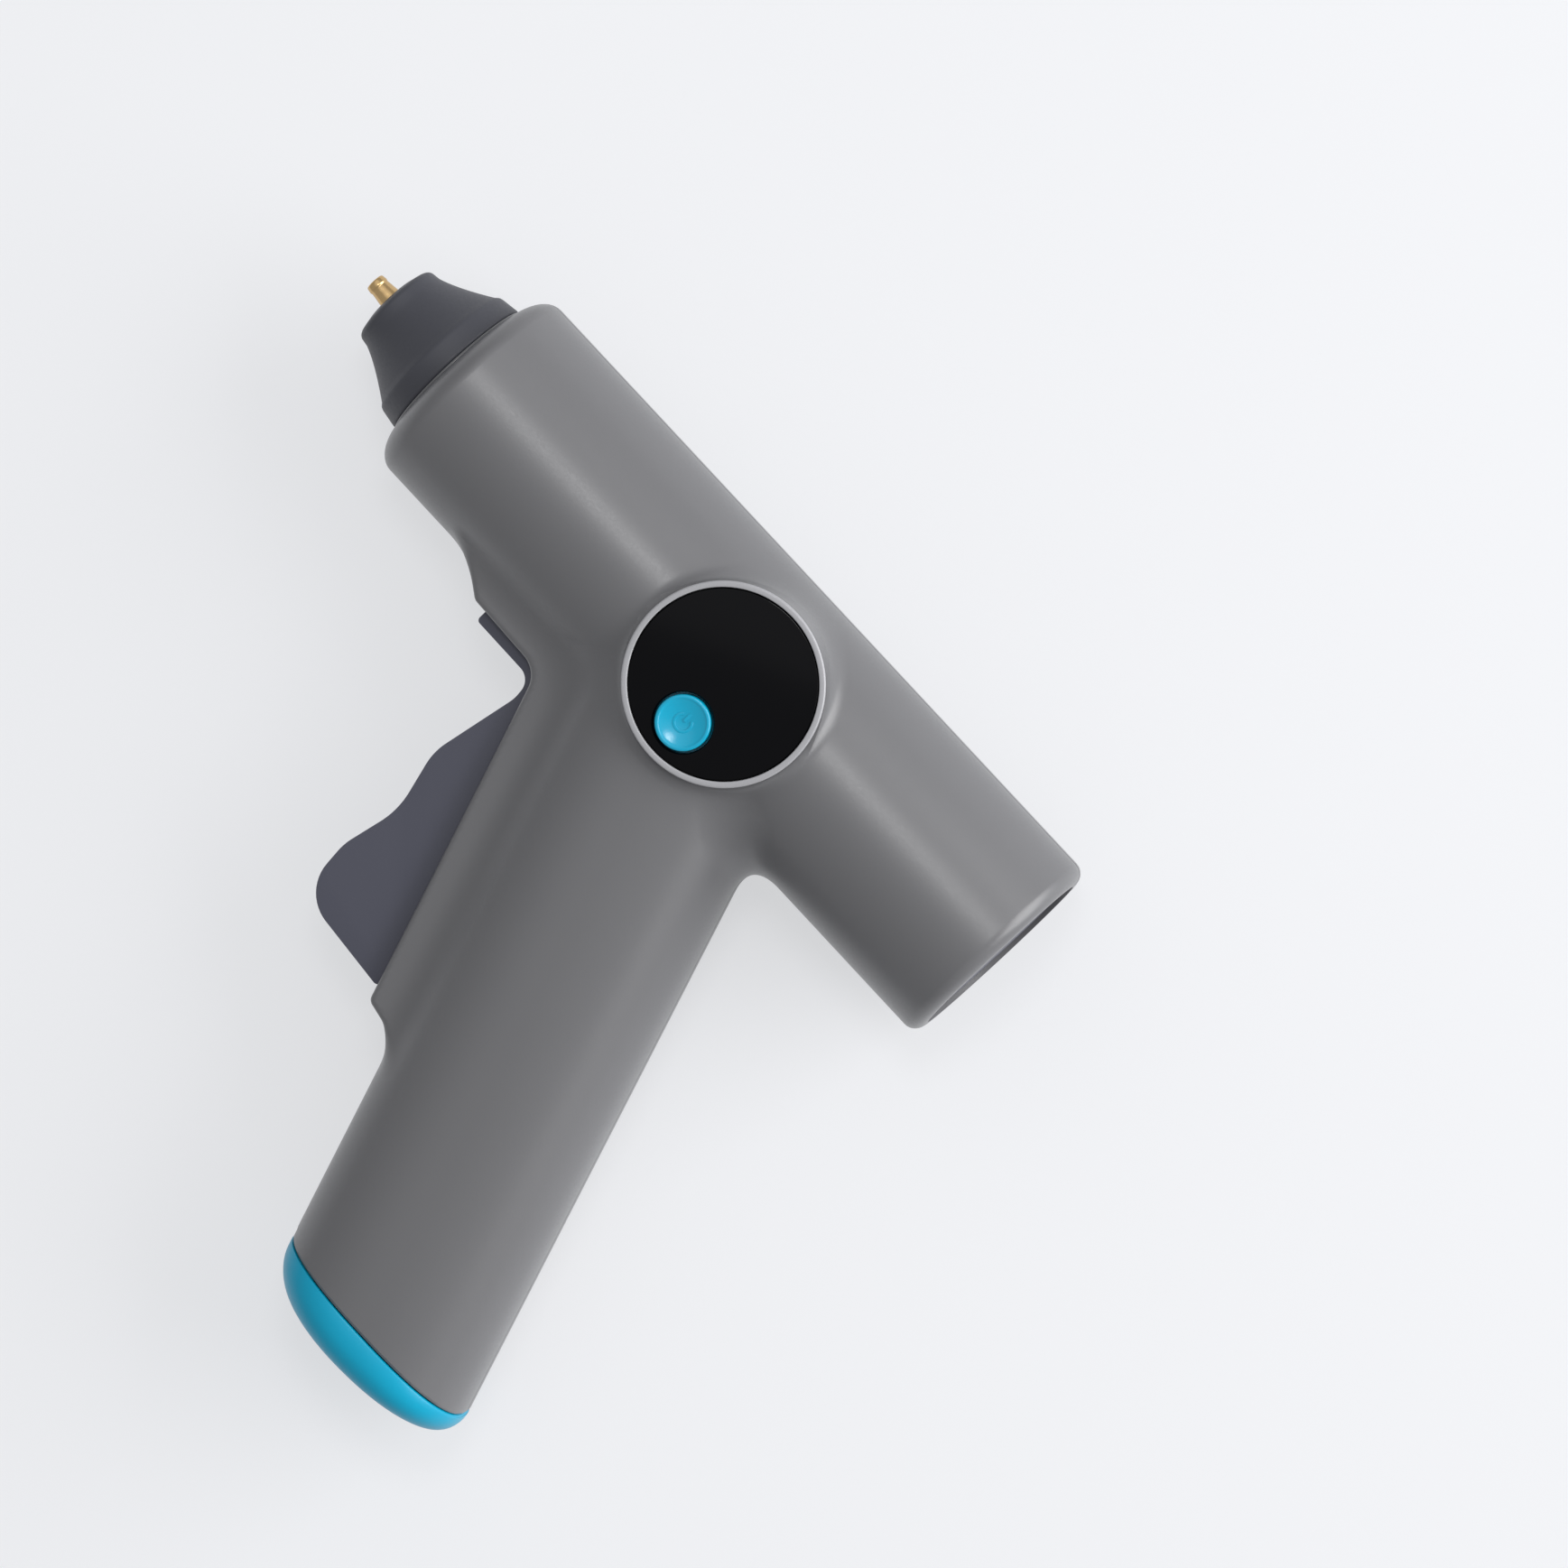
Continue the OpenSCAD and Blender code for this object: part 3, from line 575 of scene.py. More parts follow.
@dataclass(frozen=True)
class MouldedPlastic(Finish):
    """Injection-moulded plastic from a spark-eroded mould: a fine even grain, soft sheen.

    The real grain is about 0.1 mm wide, too fine to show, so it is drawn coarser.
    """

    grain_mm: float = 0.45
    grain_depth_mm: float = 0.02
    drift_mm: float = 22.0
    mottle: str = "#808286"
    mottle_amount: float = 0.25
    specular: float = 0.5
    sheen: float = 0.0

    def dress(self, tree: NodeTree, shader: Node) -> None:
        """Fine grain in the bump and roughness, and a slow, faint drift of colour.

        Args:
            tree: The material's node tree.
            shader: Its shader.
        """
        shader.inputs["Specular IOR Level"].default_value = self.specular
        shader.inputs["Coat Weight"].default_value = self.sheen
        shader.inputs["Coat Roughness"].default_value = 0.34
        where = self.place(tree)
        grain = add_node(tree, "ShaderNodeTexNoise",
                         {"Scale": 1 / (self.grain_mm * MM), "Detail": 3.0, "Roughness": 0.6},
                         {"Vector": where})
        drift = add_node(tree, "ShaderNodeTexNoise",
                         {"Scale": 1 / (self.drift_mm * MM), "Detail": 2.0},
                         {"Vector": where})
        bump = add_node(tree, "ShaderNodeBump",
                        {"Strength": 0.55, "Distance": self.grain_depth_mm * MM},
                        {"Height": grain.outputs["Fac"]})
        tree.links.new(bump.outputs["Normal"], shader.inputs["Normal"])
        rough = add_node(tree, "ShaderNodeMapRange",
                         {"From Min": 0.3, "From Max": 0.7, "To Min": self.roughness - 0.05,
                          "To Max": self.roughness + 0.06}, {"Value": grain.outputs["Fac"]})
        tree.links.new(rough.outputs["Result"], shader.inputs["Roughness"])
        self.vary(tree, shader, drift.outputs["Fac"], self.mottle, self.mottle_amount)


@dataclass(frozen=True)
class PolishedPlastic(Finish):
    """Clear-faced acrylic or polished film: smooth, with a sharp reflection."""

    specular: float = 0.5
    flow_mm: float = 9.0

    def dress(self, tree: NodeTree, shader: Node) -> None:
        """A very faint flow in the roughness, as a polished moulding has.

        Args:
            tree: The material's node tree.
            shader: Its shader.
        """
        flow = add_node(tree, "ShaderNodeTexNoise",
                        {"Scale": 1 / (self.flow_mm * MM), "Detail": 1.0},
                        {"Vector": self.place(tree)})
        rough = add_node(tree, "ShaderNodeMapRange",
                         {"To Min": self.roughness * 0.8, "To Max": self.roughness * 1.25},
                         {"Value": flow.outputs["Fac"]})
        tree.links.new(rough.outputs["Result"], shader.inputs["Roughness"])
        shader.inputs["Specular IOR Level"].default_value = self.specular


@dataclass(frozen=True)
class TurnedMetal(Finish):
    """Metal cut on a lathe about the barrel's axis: fine rings that streak the shine.

    Real rings are too fine to show. These are a wave that runs one radian in radian_mm, so
    they are drawn about 1.4 mm apart.
    """

    radian_mm: float = 0.22
    tarnish_mm: float = 2.5
    tarnish: str = "#a8864e"

    def dress(self, tree: NodeTree, shader: Node) -> None:
        """Rings across the X axis in the bump, and blotches of tarnish.

        Args:
            tree: The material's node tree.
            shader: Its shader.
        """
        shader.inputs["Metallic"].default_value = 1.0
        where = self.place(tree)
        rings = add_node(tree, "ShaderNodeTexWave",
                         {"wave_type": "BANDS", "bands_direction": "X",
                          "Scale": 1 / (self.radian_mm * MM) / WAVE_PHASE,
                          "Distortion": 0.4}, {"Vector": where})
        bump = add_node(tree, "ShaderNodeBump", {"Strength": 0.45, "Distance": 0.02 * MM},
                        {"Height": rings.outputs["Fac"]})
        tree.links.new(bump.outputs["Normal"], shader.inputs["Normal"])
        tarnish = add_node(tree, "ShaderNodeTexNoise",
                           {"Scale": 1 / (self.tarnish_mm * MM), "Detail": 4.0},
                           {"Vector": where})
        self.vary(tree, shader, tarnish.outputs["Fac"], self.tarnish, 0.3)


@dataclass(frozen=True)
class PlatedSteel(Finish):
    """Zinc-plated or spring steel: grey metal with a faint blotchy grain."""

    blotch_mm: float = 1.2
    dark: str = "#7d8084"

    def dress(self, tree: NodeTree, shader: Node) -> None:
        """Blotches in colour and roughness.

        Args:
            tree: The material's node tree.
            shader: Its shader.
        """
        shader.inputs["Metallic"].default_value = 1.0
        blotch = add_node(tree, "ShaderNodeTexNoise",
                          {"Scale": 1 / (self.blotch_mm * MM), "Detail": 5.0},
                          {"Vector": self.place(tree)})
        rough = add_node(tree, "ShaderNodeMapRange",
                         {"To Min": self.roughness - 0.08, "To Max": self.roughness + 0.14},
                         {"Value": blotch.outputs["Fac"]})
        tree.links.new(rough.outputs["Result"], shader.inputs["Roughness"])
        self.vary(tree, shader, blotch.outputs["Fac"], self.dark, 0.4)


@dataclass(frozen=True)
class CircuitBoard(Finish):
    """Glass-fibre board under green solder mask: darker lanes where copper runs beneath."""

    lane_mm: float = 1.1
    lanes_per_brick: int = 6
    over_copper: str = "#245f3f"
    lane_edge: str = "#3f8a58"

    def dress(self, tree: NodeTree, shader: Node) -> None:
        """A brick pattern stands for the copper lanes.

        Args:
            tree: The material's node tree.
            shader: Its shader.
        """
        lanes = add_node(tree, "ShaderNodeTexBrick",
                         {"Scale": 1 / (self.lane_mm * self.lanes_per_brick * MM),
                          "Mortar Size": 0.04, "Color1": linear(self.colour),
                          "Color2": linear(self.over_copper),
                          "Mortar": linear(self.lane_edge)}, {"Vector": self.place(tree)})
        tree.links.new(lanes.outputs["Color"], shader.inputs["Base Color"])
        shader.inputs["Coat Weight"].default_value = 0.4
        shader.inputs["Coat Roughness"].default_value = 0.2


@dataclass(frozen=True)
class WireCover(Finish):
    """PVC-covered wire: one colour on each side of the gun's middle plane."""

    other: str = "#1a1a1c"
    split_z: float = 0.0

    def dress(self, tree: NodeTree, shader: Node) -> None:
        """Two colours, split by which side of the middle plane a wire lies on.

        Args:
            tree: The material's node tree.
            shader: Its shader.
        """
        parts = add_node(tree, "ShaderNodeSeparateXYZ", {}, {"Vector": self.place(tree)})
        side = add_node(tree, "ShaderNodeMath",
                        {"operation": "GREATER_THAN", 1: self.split_z * MM},
                        {0: parts.outputs["Z"]})
        self.vary(tree, shader, side.outputs[0], self.other, 1.0)


# ABS with a fine spark grain: a matt mid grey that stays even under soft light.
HOUSING_GREY = MouldedPlastic("moulded_grey_abs", "housing_plastic", "#606062", 0.36,
                              mottle="#5b5b5d", sheen=0.3)
# The boss's flat rim, polished in the mould: a lower roughness, and a paler grey that is painted
# sheen.
RIM_GREY_PAINTED_SHEEN = MouldedPlastic("polished_grey_rim", "housing_plastic", "#98989b", 0.3,
                          mottle="#929295", sheen=0.3)
# Glass-filled nylon for the trigger and cap: darker, with a slightly tighter sheen.
DARK_NYLON = MouldedPlastic("moulded_dark_nylon", "dark_plastic", "#454652", 0.42,
                            grain_mm=0.4, mottle="#40414c")
# Phenolic-type heat-proof moulding: near black, dull.
HEATPROOF_BLACK = MouldedPlastic("heatproof_phenolic", "heat_proof_plastic", "#3a3b42", 0.5,
                                 grain_mm=0.5, mottle="#33343a")
# Satin teal ABS for the foot: a clear colour with a soft, broad shine.
TEAL_ABS = MouldedPlastic("satin_teal_abs", "teal_plastic", "#0093b4", 0.36, grain_mm=0.35,
                          grain_depth_mm=0.012, mottle="#008cab", mottle_amount=0.3,
                          specular=0.3)
# The same teal ABS from a polished mould for the button: glossier, so its dish catches light.
GLOSS_TEAL = MouldedPlastic("gloss_teal_abs", "teal_plastic", "#0098b9", 0.2, grain_mm=0.35,
                            grain_depth_mm=0.004, mottle="#0091b0", mottle_amount=0.3,
                            specular=0.5)
# Smoke-black acrylic over the display.
BLACK_ACRYLIC = PolishedPlastic("smoked_acrylic", "lens_plastic", "#050507", 0.12,
                                specular=0.12)
# Free-cutting brass straight from the lathe.
TURNED_BRASS = TurnedMetal("turned_brass", "brass", "#d6b684", 0.25)
# Zinc-plated screws and pins.
ZINC_STEEL = PlatedSteel("zinc_plated_steel", "steel", "#b9bcc0", 0.3)
# Aluminium die casting: coarse, bright grain.
CAST_ALUMINIUM = PlatedSteel("cast_aluminium", "cast_aluminium", "#c4c5c6", 0.45,
                             blotch_mm=0.8, dark="#9fa1a3")
# Acetal for the sliding carriage: waxy white.
WHITE_ACETAL = MouldedPlastic("white_acetal", "white_plastic", "#e2e1dc", 0.38,
                              mottle="#d6d5cf")
# Fired alumina around the heater.
ALUMINA = MouldedPlastic("fired_alumina", "ceramic", "#e6e2d6", 0.6, grain_mm=0.7,
                         grain_depth_mm=0.05, mottle="#d8d2c2")
# Silicone rubber: soft ivory, dull.
IVORY_SILICONE = MouldedPlastic("ivory_silicone", "silicone", "#d8cfb8", 0.55, grain_mm=0.9,
                                mottle="#ccc2a8")
# Black switch and display bodies.
BLACK_ABS = MouldedPlastic("black_abs", "black_plastic", "#1d1d20", 0.5, mottle="#18181a")
# PVC shrink wrap on the cell: smooth blue.
CELL_WRAP = PolishedPlastic("blue_shrink_wrap", "cell_wrap", "#2a6cb0", 0.3)
GREEN_BOARD = CircuitBoard("green_solder_mask", "circuit_board", "#1b5236", 0.4)
LEAD_COVER = WireCover("wire_cover", "wire_cover", "#a31717", 0.42)


def finish_piece(obj: Object, name: str, body: str, finish: Finish,
                 nodes: Sequence[str], smooth: Optional[float] = 30) -> None:
    """Names a piece, gives it its finish, ties it to its body and hides the frame's nodes it stands
    for.

    Args:
        obj: The piece.
        name: Its name.
        body: The body it rides on.
        finish: Its finish.
        nodes: The frame's nodes that it replaces.
        smooth: Faces meeting at less than this, in degrees, are shaded as one. None leaves
            the shading as it is.
    """
    only(obj)
    obj.name = obj.data.name = name
    if smooth is not None:
        bpy.ops.object.shade_smooth_by_angle(angle=radians(smooth))
    obj.data.materials.clear()
    obj.data.materials.append(finish.material())
    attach(obj, body)
    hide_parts(*nodes)
    LOG.info("%s: %d faces", name, len(obj.data.polygons))


# ---------------------------------------------------------------- the body's shape

def soft_join(a: np.ndarray, b: np.ndarray, reach: float | np.ndarray) -> np.ndarray:
    """The nearer of two distances, eased together where they are within reach of each other."""
    ease = np.maximum(reach - np.abs(a - b), 0) / reach
    return np.minimum(a, b) - ease * ease * reach / 4


def from_corner(u: np.ndarray, w: np.ndarray) -> np.ndarray:
    """Distance from a square corner whose two sides lie at signed distances u and w."""
    q = np.stack([u, w], 1)
    return np.linalg.norm(np.maximum(q, 0), axis=1) + np.minimum(q.max(axis=1), 0)


def outline_distance(points: np.ndarray, outline: Sequence[Point]) -> np.ndarray:
    """Signed distance from a closed outline, negative inside.

    Args:
        points: One row of x and y for each point.
        outline: The outline's corners, in order.

    Returns:
        The distance of each point.
    """
    corner = np.array(outline)
    best = np.full(len(points), np.inf)
    inside = np.zeros(len(points), bool)
    for a, b in zip(corner, np.roll(corner, -1, axis=0)):
        run = b - a
        offset = points - a
        t = np.clip(offset @ run / (run @ run), 0, 1)
        gap = offset - t[:, None] * run
        best = np.minimum(best, (gap * gap).sum(axis=1))
        crosses = (a[1] > points[:, 1]) != (b[1] > points[:, 1])
        with np.errstate(divide="ignore", invalid="ignore"):
            at = a[0] + (points[:, 1] - a[1]) / (b[1] - a[1]) * run[0]
        inside ^= crosses & (points[:, 0] < at)
    return np.where(inside, -1, 1) * np.sqrt(best)


@dataclass
class BodyShape:
    """The gun's outside as a distance field in millimetres, with its parts softly blended.

    Every method that takes p takes one row of x, y and z for each point, and gives one value
    or one row back for each.
    """

    handle_blend: float = 7.5
    guard_blend: float = 4.0
    boss_blend: float = 2.6
    guard_round: float = 1.1
    corner_gain: float = 1.6
    least_corner: float = 0.05
    probe: float = 0.02
    least_slope: float = 0.15
    longest_move: float = 1.5
    outline: list[Point] = field(default_factory=list)

    def __post_init__(self) -> None:
        """Works out the guard's side outline."""
        self.outline = rounded([
            ((S.pivot_x - 16, -(S.barrel_r - 3)), 0),
            ((S.pivot_x - 12, -(S.barrel_r - 0.1)), 6),
            ((S.pivot_x - 6.8, -(S.barrel_r + 3.5)), 1.5),
            (S.on_handle(-S.guard_reach, S.elbow_low), 5),
            (S.on_handle(-S.guard_reach, S.guard_low), 1.6),
            (S.on_handle(-S.handle_a - 2, S.guard_low + 2.4), 5),
            (S.on_handle(-S.handle_a + 4, S.guard_low + 8.5), 0),
            (S.on_handle(-8, S.guard_low + 8.5), 0),
            (S.on_handle(-8, 4), 0)], 6)

    def barrel(self, p: np.ndarray) -> np.ndarray:
        """Distance from the barrel, with its round rear rim and front shoulder.

        Args:
            p: The points.

        Returns:
            The distances.
        """
        r = np.hypot(p[:, 1], p[:, 2])
        rear = from_corner(p[:, 0] - (S.barrel_back - S.rim_round),
                           r - (S.barrel_r - S.rim_round)) - S.rim_round
        rise = S.barrel_r - S.shoulder_r
        squeeze = rise / S.shoulder_length
        front = from_corner((S.barrel_front + S.shoulder_length - p[:, 0]) * squeeze,
                            r - S.shoulder_r) - rise
        return np.maximum(rear, front)

    @staticmethod
    def along_handle(p: np.ndarray) -> tuple[np.ndarray, np.ndarray]:
        """How far back from the handle's axis, and how far down along it, each point lies.

        Args:
            p: The points.

        Returns:
            The distances back, and the distances down.
        """
        turn = radians(S.rake)
        x = p[:, 0] - S.handle_at
        return (x * cos(turn) + p[:, 1] * sin(turn),
                x * sin(turn) - p[:, 1] * cos(turn))

    def handle(self, p: np.ndarray) -> np.ndarray:
        """Distance from the raked handle.

        Args:
            p: The points.

        Returns:
            The distances.
        """
        x, down = self.along_handle(p)
        power = S.handle_power
        u, w = np.abs(x) / S.handle_a + 1e-6, np.abs(p[:, 2]) / S.handle_b + 1e-6
        level = (u ** power + w ** power) ** (1 / power)
        slope = np.hypot((u / level) ** (power - 1) / S.handle_a,
                         (w / level) ** (power - 1) / S.handle_b)
        return np.maximum((level - 1) / slope, -down)

    def corner(self, p: np.ndarray) -> np.ndarray:
        """How sharply barrel and handle meet: near 0 where they face alike, 1 where square.

        Args:
            p: The points.

        Returns:
            The sharpness at each point.
        """
        x, _ = self.along_handle(p)
        power = S.handle_power - 1
        u = np.sign(x) * np.abs(x / S.handle_a) ** power / S.handle_a
        w = np.sign(p[:, 2]) * np.abs(p[:, 2] / S.handle_b) ** power / S.handle_b
        alike = ((p[:, 1] * u * sin(radians(S.rake)) + p[:, 2] * w)
                 / (np.hypot(p[:, 1], p[:, 2]) * np.hypot(u, w) + 1e-9))
        return np.clip(self.corner_gain * (1 - alike), self.least_corner, 1)

    def guard(self, p: np.ndarray) -> np.ndarray:
        """Distance from the flat guard that the trigger sits in."""
        return from_corner(outline_distance(p[:, :2], self.outline) + self.guard_round,
                           np.abs(p[:, 2]) - S.guard_half + self.guard_round) - self.guard_round

    def boss(self, p: np.ndarray) -> np.ndarray:
        """Distance from the round boss under the display, which is trimmed to its height later."""
        r = np.hypot(p[:, 0] - S.display_x, p[:, 1])
        return np.maximum(np.maximum(r - S.boss_r, p[:, 2] - S.boss_top - 4), 4 - p[:, 2])

    def distance(self, p: np.ndarray) -> np.ndarray:
        """Distance from the whole body.

        Args:
            p: The points.

        Returns:
            The distances.
        """
        out = soft_join(self.barrel(p), self.handle(p), self.handle_blend * self.corner(p))
        out = soft_join(out, self.guard(p), self.guard_blend)
        return soft_join(out, self.boss(p), self.boss_blend)

    def slope(self, p: np.ndarray) -> np.ndarray:
        """The direction in which the distance grows, not scaled to length 1.

        Args:
            p: The points.

        Returns:
            The directions.
        """
        out = np.empty_like(p)
        for k in range(3):
            shift = np.zeros(3)
            shift[k] = self.probe
            out[:, k] = (self.distance(p + shift) - self.distance(p - shift)) / (2 * self.probe)
        return out

    def settle(self, p: np.ndarray, rounds: int) -> np.ndarray:
        """Moves points along the slope until they lie on the surface.

        Args:
            p: The points.
            rounds: How many moves each one makes.

        Returns:
            The moved points.
        """
        for _ in range(rounds):
            slope = self.slope(p)
            size = np.maximum((slope * slope).sum(axis=1), self.least_slope)
            move = (self.distance(p) / size)[:, None] * slope
            p = p - np.clip(move, -self.longest_move, self.longest_move)
        return p


@dataclass
class Shells:
    """The two moulded halves of the body, cut from one blended form."""

    voxel_mm: float = 0.7
    seam_gap: float = 0.05
    seam_round: float = 0.3
    seam_sink: float = 0.22
    foot_seam_sink: float = 0.3
    mouth_r: float = 17.5
    nose_bore_r: float = 13.45
    lip_r: tuple[float, float] = (13.0, 15.25)
    lip_x: tuple[float, float] = (-138.6, -140.95)
    pin_r: float = 1.52
    pin_half: float = 9.3
    tube_r: float = 5.02
    web_x: tuple[float, float] = (-30.0, -80.6)
    web_thick: float = 1.6
    rib_x: tuple[float, float] = (-121.2, -117.2)
    rib_thick: float = 1.2
    rib_r: float = 15.6
    post_r: float = 4.2
    pilot_r: float = 1.32
    bore_r: float = 1.5
    sink_r: float = 2.9
    sink_floor: float = -8.5
    seat_r: float = 17.05
    pocket_r: float = 16.1
    pocket_low: float = 12.6
    screws: tuple[Point, ...] = ((-110.5, 14.0), (-16.0, 13.5), (-22.0, -13.5),
                                 S.on_handle(12, 41), S.on_handle(-13.5, 103))
    shape: BodyShape = field(default_factory=BodyShape)

    def handle_solid(self, name: str, inset: float) -> Object:
        """A straight bar with the handle's section, shrunk by inset.

        Args:
            name: The new object's name.
            inset: How far it is shrunk, in millimetres.

        Returns:
            The bar.
        """
        obj = prism(name, superellipse(S.handle_a - inset, S.handle_b - inset,
                                       S.handle_power, 96), 0, 160)
        turn = (Matrix.Translation((S.handle_at * MM, 0, 0))
                @ Matrix.Rotation(radians(S.rake), 4, "Z")
                @ Matrix.Rotation(radians(90), 4, "X"))
        obj.data.transform(turn)
        return obj

    def barrel_solid(self, name: str, inset: float) -> Object:
        """The barrel, shrunk by inset, with its rounded rim and shoulder.

        Args:
            name: The new object's name.
            inset: How far it is shrunk, in millimetres.

        Returns:
            The barrel.
        """
        r, front, back = S.barrel_r - inset, S.barrel_front + inset, S.barrel_back - inset
        edge = S.rim_round - inset
        quarter = [radians(90 * i / 8) for i in range(9)]
        profile = [(0.0, front)]
        profile += [(S.shoulder_r + (r - S.shoulder_r) * sin(t),
                     front + S.shoulder_length * (1 - cos(t))) for t in quarter]
        profile += [(r - edge * (1 - cos(t)), back - edge * (1 - sin(t)))
                    for t in quarter]
        profile += [(0.0, back)]
        return turned(name, profile, Axis.X, steps=128)

    def outside(self) -> Object:
        """The whole outside: parts joined, remeshed evenly, then eased onto the blended form.

        Returns:
            The solid.
        """
        body = join(self.barrel_solid("body", 0), self.handle_solid("handle", 0),
                    prism("guard", self.shape.outline, -S.guard_half, S.guard_half),
                    rod("boss", S.boss_r, (S.display_x, 0, 5), S.boss_top - 4, Axis.Z, 128))
        apply_modifier(body, "REMESH", mode="VOXEL", voxel_size=self.voxel_mm * MM)
        self.ease(body, 4)
        with editing(body):
            bpy.ops.mesh.vertices_smooth(factor=0.5, repeat=4)
        self.ease(body, 3)
        self.add_seam_grooves(body)
        return body

    def ease(self, obj: Object, rounds: int) -> None:
        """Moves every point of obj above the handle's cut end onto the blended form.

        Args:
            obj: The body.
            rounds: How many moves each point makes.
        """
        p = get_points(obj)
        high = p[:, 1] > S.base_y - 6
        p[high] = self.shape.settle(p[high], rounds)
        put_points(obj, p)

    def add_seam_grooves(self, obj: Object) -> None:
        """Cuts edge loops beside the seams and sinks the seams between them.

        Args:
            obj: The body.
        """
        width = self.seam_round
        foot_width = width + 0.1
        cuts = [((0, 0, z), (0, 0, 1)) for z in (-width, -self.seam_gap, self.seam_gap, width)]
        cuts += [((0, S.base_y + y, 0), (0, 1, 0)) for y in (0.0, foot_width)]
        with editing(obj):
            for place, normal in cuts:
                bpy.ops.mesh.select_all(action="SELECT")
                bpy.ops.mesh.bisect(plane_co=tuple(Vector(place) * MM), plane_no=normal)
        p = get_points(obj)
        near = (np.abs(p[:, 2]) < width) | (np.abs(p[:, 1] - S.base_y) < foot_width)
        q = p[near]
        slope = self.shape.slope(q)
        slope /= np.maximum(np.linalg.norm(slope, axis=1), 0.2)[:, None]
        sink = np.maximum(0, self.seam_sink * (1 - np.abs(q[:, 2]) / width))
        sink = np.maximum(sink, self.foot_seam_sink
                          * (1 - np.abs(q[:, 1] - S.base_y) / foot_width))
        p[near] = q - sink[:, None] * slope
        put_points(obj, p)

    def inside(self) -> Object:
        """The hollow, a wall's thickness in from the outside.

        Returns:
            The solid that is cut out.
        """
        guard = rounded([
            ((S.pivot_x - 6.5, -(S.barrel_r - 10)), 0),
            ((S.pivot_x - 6.5, -(S.barrel_r + 0.6)), 0),
            (S.on_handle(-S.guard_reach + S.wall, S.elbow_low - 0.4), 2.5),
            (S.on_handle(-S.guard_reach + S.wall, S.guard_low - S.wall), 0),
            (S.on_handle(-8, S.guard_low - S.wall), 0),
            (S.on_handle(-8, 4), 0)])
        half = S.guard_half - S.wall
        return join(self.barrel_solid("hollow", S.wall),
                    self.handle_solid("handle_hollow", S.wall),
                    prism("guard_hollow", guard, -half, half))

    def front_lip(self) -> Object:
        """The ring in the barrel's front that holds the collar's flange.

        Returns:
            The ring.
        """
        (inner, outer), (back, front) = self.lip_r, self.lip_x
        return turned("front_lip", rounded([((inner, back), 0), ((outer, back), 0),
                                            ((outer, front), 0.25), ((inner, front), 0.1)], 4),
                      Axis.X, steps=128)

    def slot(self) -> Object:
        """The trigger's slot, from the pivot down the guard's open front.

        Returns:
            The solid that is cut out.
        """
        low, front = S.guard_low - 2, -S.handle_a + 1
        outline = [(S.pivot_x - 4.6, -(S.barrel_r - 9)), (S.pivot_x - 4.6, -60),
                   S.on_handle(-60, 60), S.on_handle(-45, low), S.on_handle(front, low),
                   S.on_handle(front, 10)]
        return prism("slot_cut", outline, -S.slot_half, S.slot_half)

    def notch(self) -> Object:
        """The gap at the handle's front corner, where the inner frame shows.

        Returns:
            The solid that is cut out.
        """
        turn = radians(S.rake)
        down = (-S.base_y - S.handle_a * sin(turn)) / cos(turn)
        x, y = S.on_handle(-S.handle_a, down)
        rows = [(-2, -1), (5, -1), (5, 1.3), (0.9, 1.3), (-1, 2.4), (-2, 2.4)]
        return prism("notch_cut", [(x + dx, y + dy) for dx, dy in rows], -7, 7)

    def open_up(self, body: Object) -> None:
        """Cuts the hollow, the two ends, the foot, the trigger's slot and the pivot's hole.

        Args:
            body: The body.
        """
        cut(body, self.inside())
        self.add_ribs(body)
        cut(body, rod("rear_cut", self.mouth_r, (-4, 0, 0), 8, Axis.X, 128))
        join(body, self.front_lip())
        cut(body, rod("front_cut", self.nose_bore_r, (-142, 0, 0), 5, Axis.X, 96),
            block("foot_cut", (-120, -220, -40), (60, S.base_y, 40)), self.slot(), self.notch(),
            rod("pin_cut", self.pin_r, (S.pivot_x, S.pivot_y, -self.pin_half),
                2 * self.pin_half, Axis.Z))

    def add_ribs(self, body: Object) -> None:
        """Joins the webs round the guide tube, the bracket's ribs and the screw posts.

        Args:
            body: The body.
        """
        reach = S.barrel_r - S.wall + 0.6
        for x in self.web_x:
            web = rod("web", reach, (x, 0, 0), self.web_thick, Axis.X, 96)
            join(body, cut(web, block("web_low", (x - 1, -40, -40), (x + 3, -12, 40)),
                           rod("tube_cut", self.tube_r, (-140, 0, 0), 140, Axis.X)))
        for x in self.rib_x:
            end = x + self.rib_thick
            join(body, turned("rib", [(self.rib_r, x), (reach, x), (reach, end),
                                      (self.rib_r, end)], Axis.X, steps=96))
        for x, y in self.screws:
            depth = min(self.depth_at(x + self.post_r * cos(t), y + self.post_r * sin(t))
                        for t in np.linspace(0, 2 * pi, 17)) - 0.4
            join(body, rod("post", self.post_r, (x, y, -depth), 2 * depth, Axis.Z, 40))

    def depth_at(self, x: float, y: float) -> float:
        """How far the body reaches from its middle plane at a place, in millimetres.

        Args:
            x: The place along the gun.
            y: Its height.

        Returns:
            The depth, or 2 where it is less.
        """
        z = np.linspace(0, 24, 121)
        p = np.stack([np.full_like(z, x), np.full_like(z, y), z], 1)
        inside = self.shape.distance(p) < 0
        return float(z[inside].max(initial=2.0))

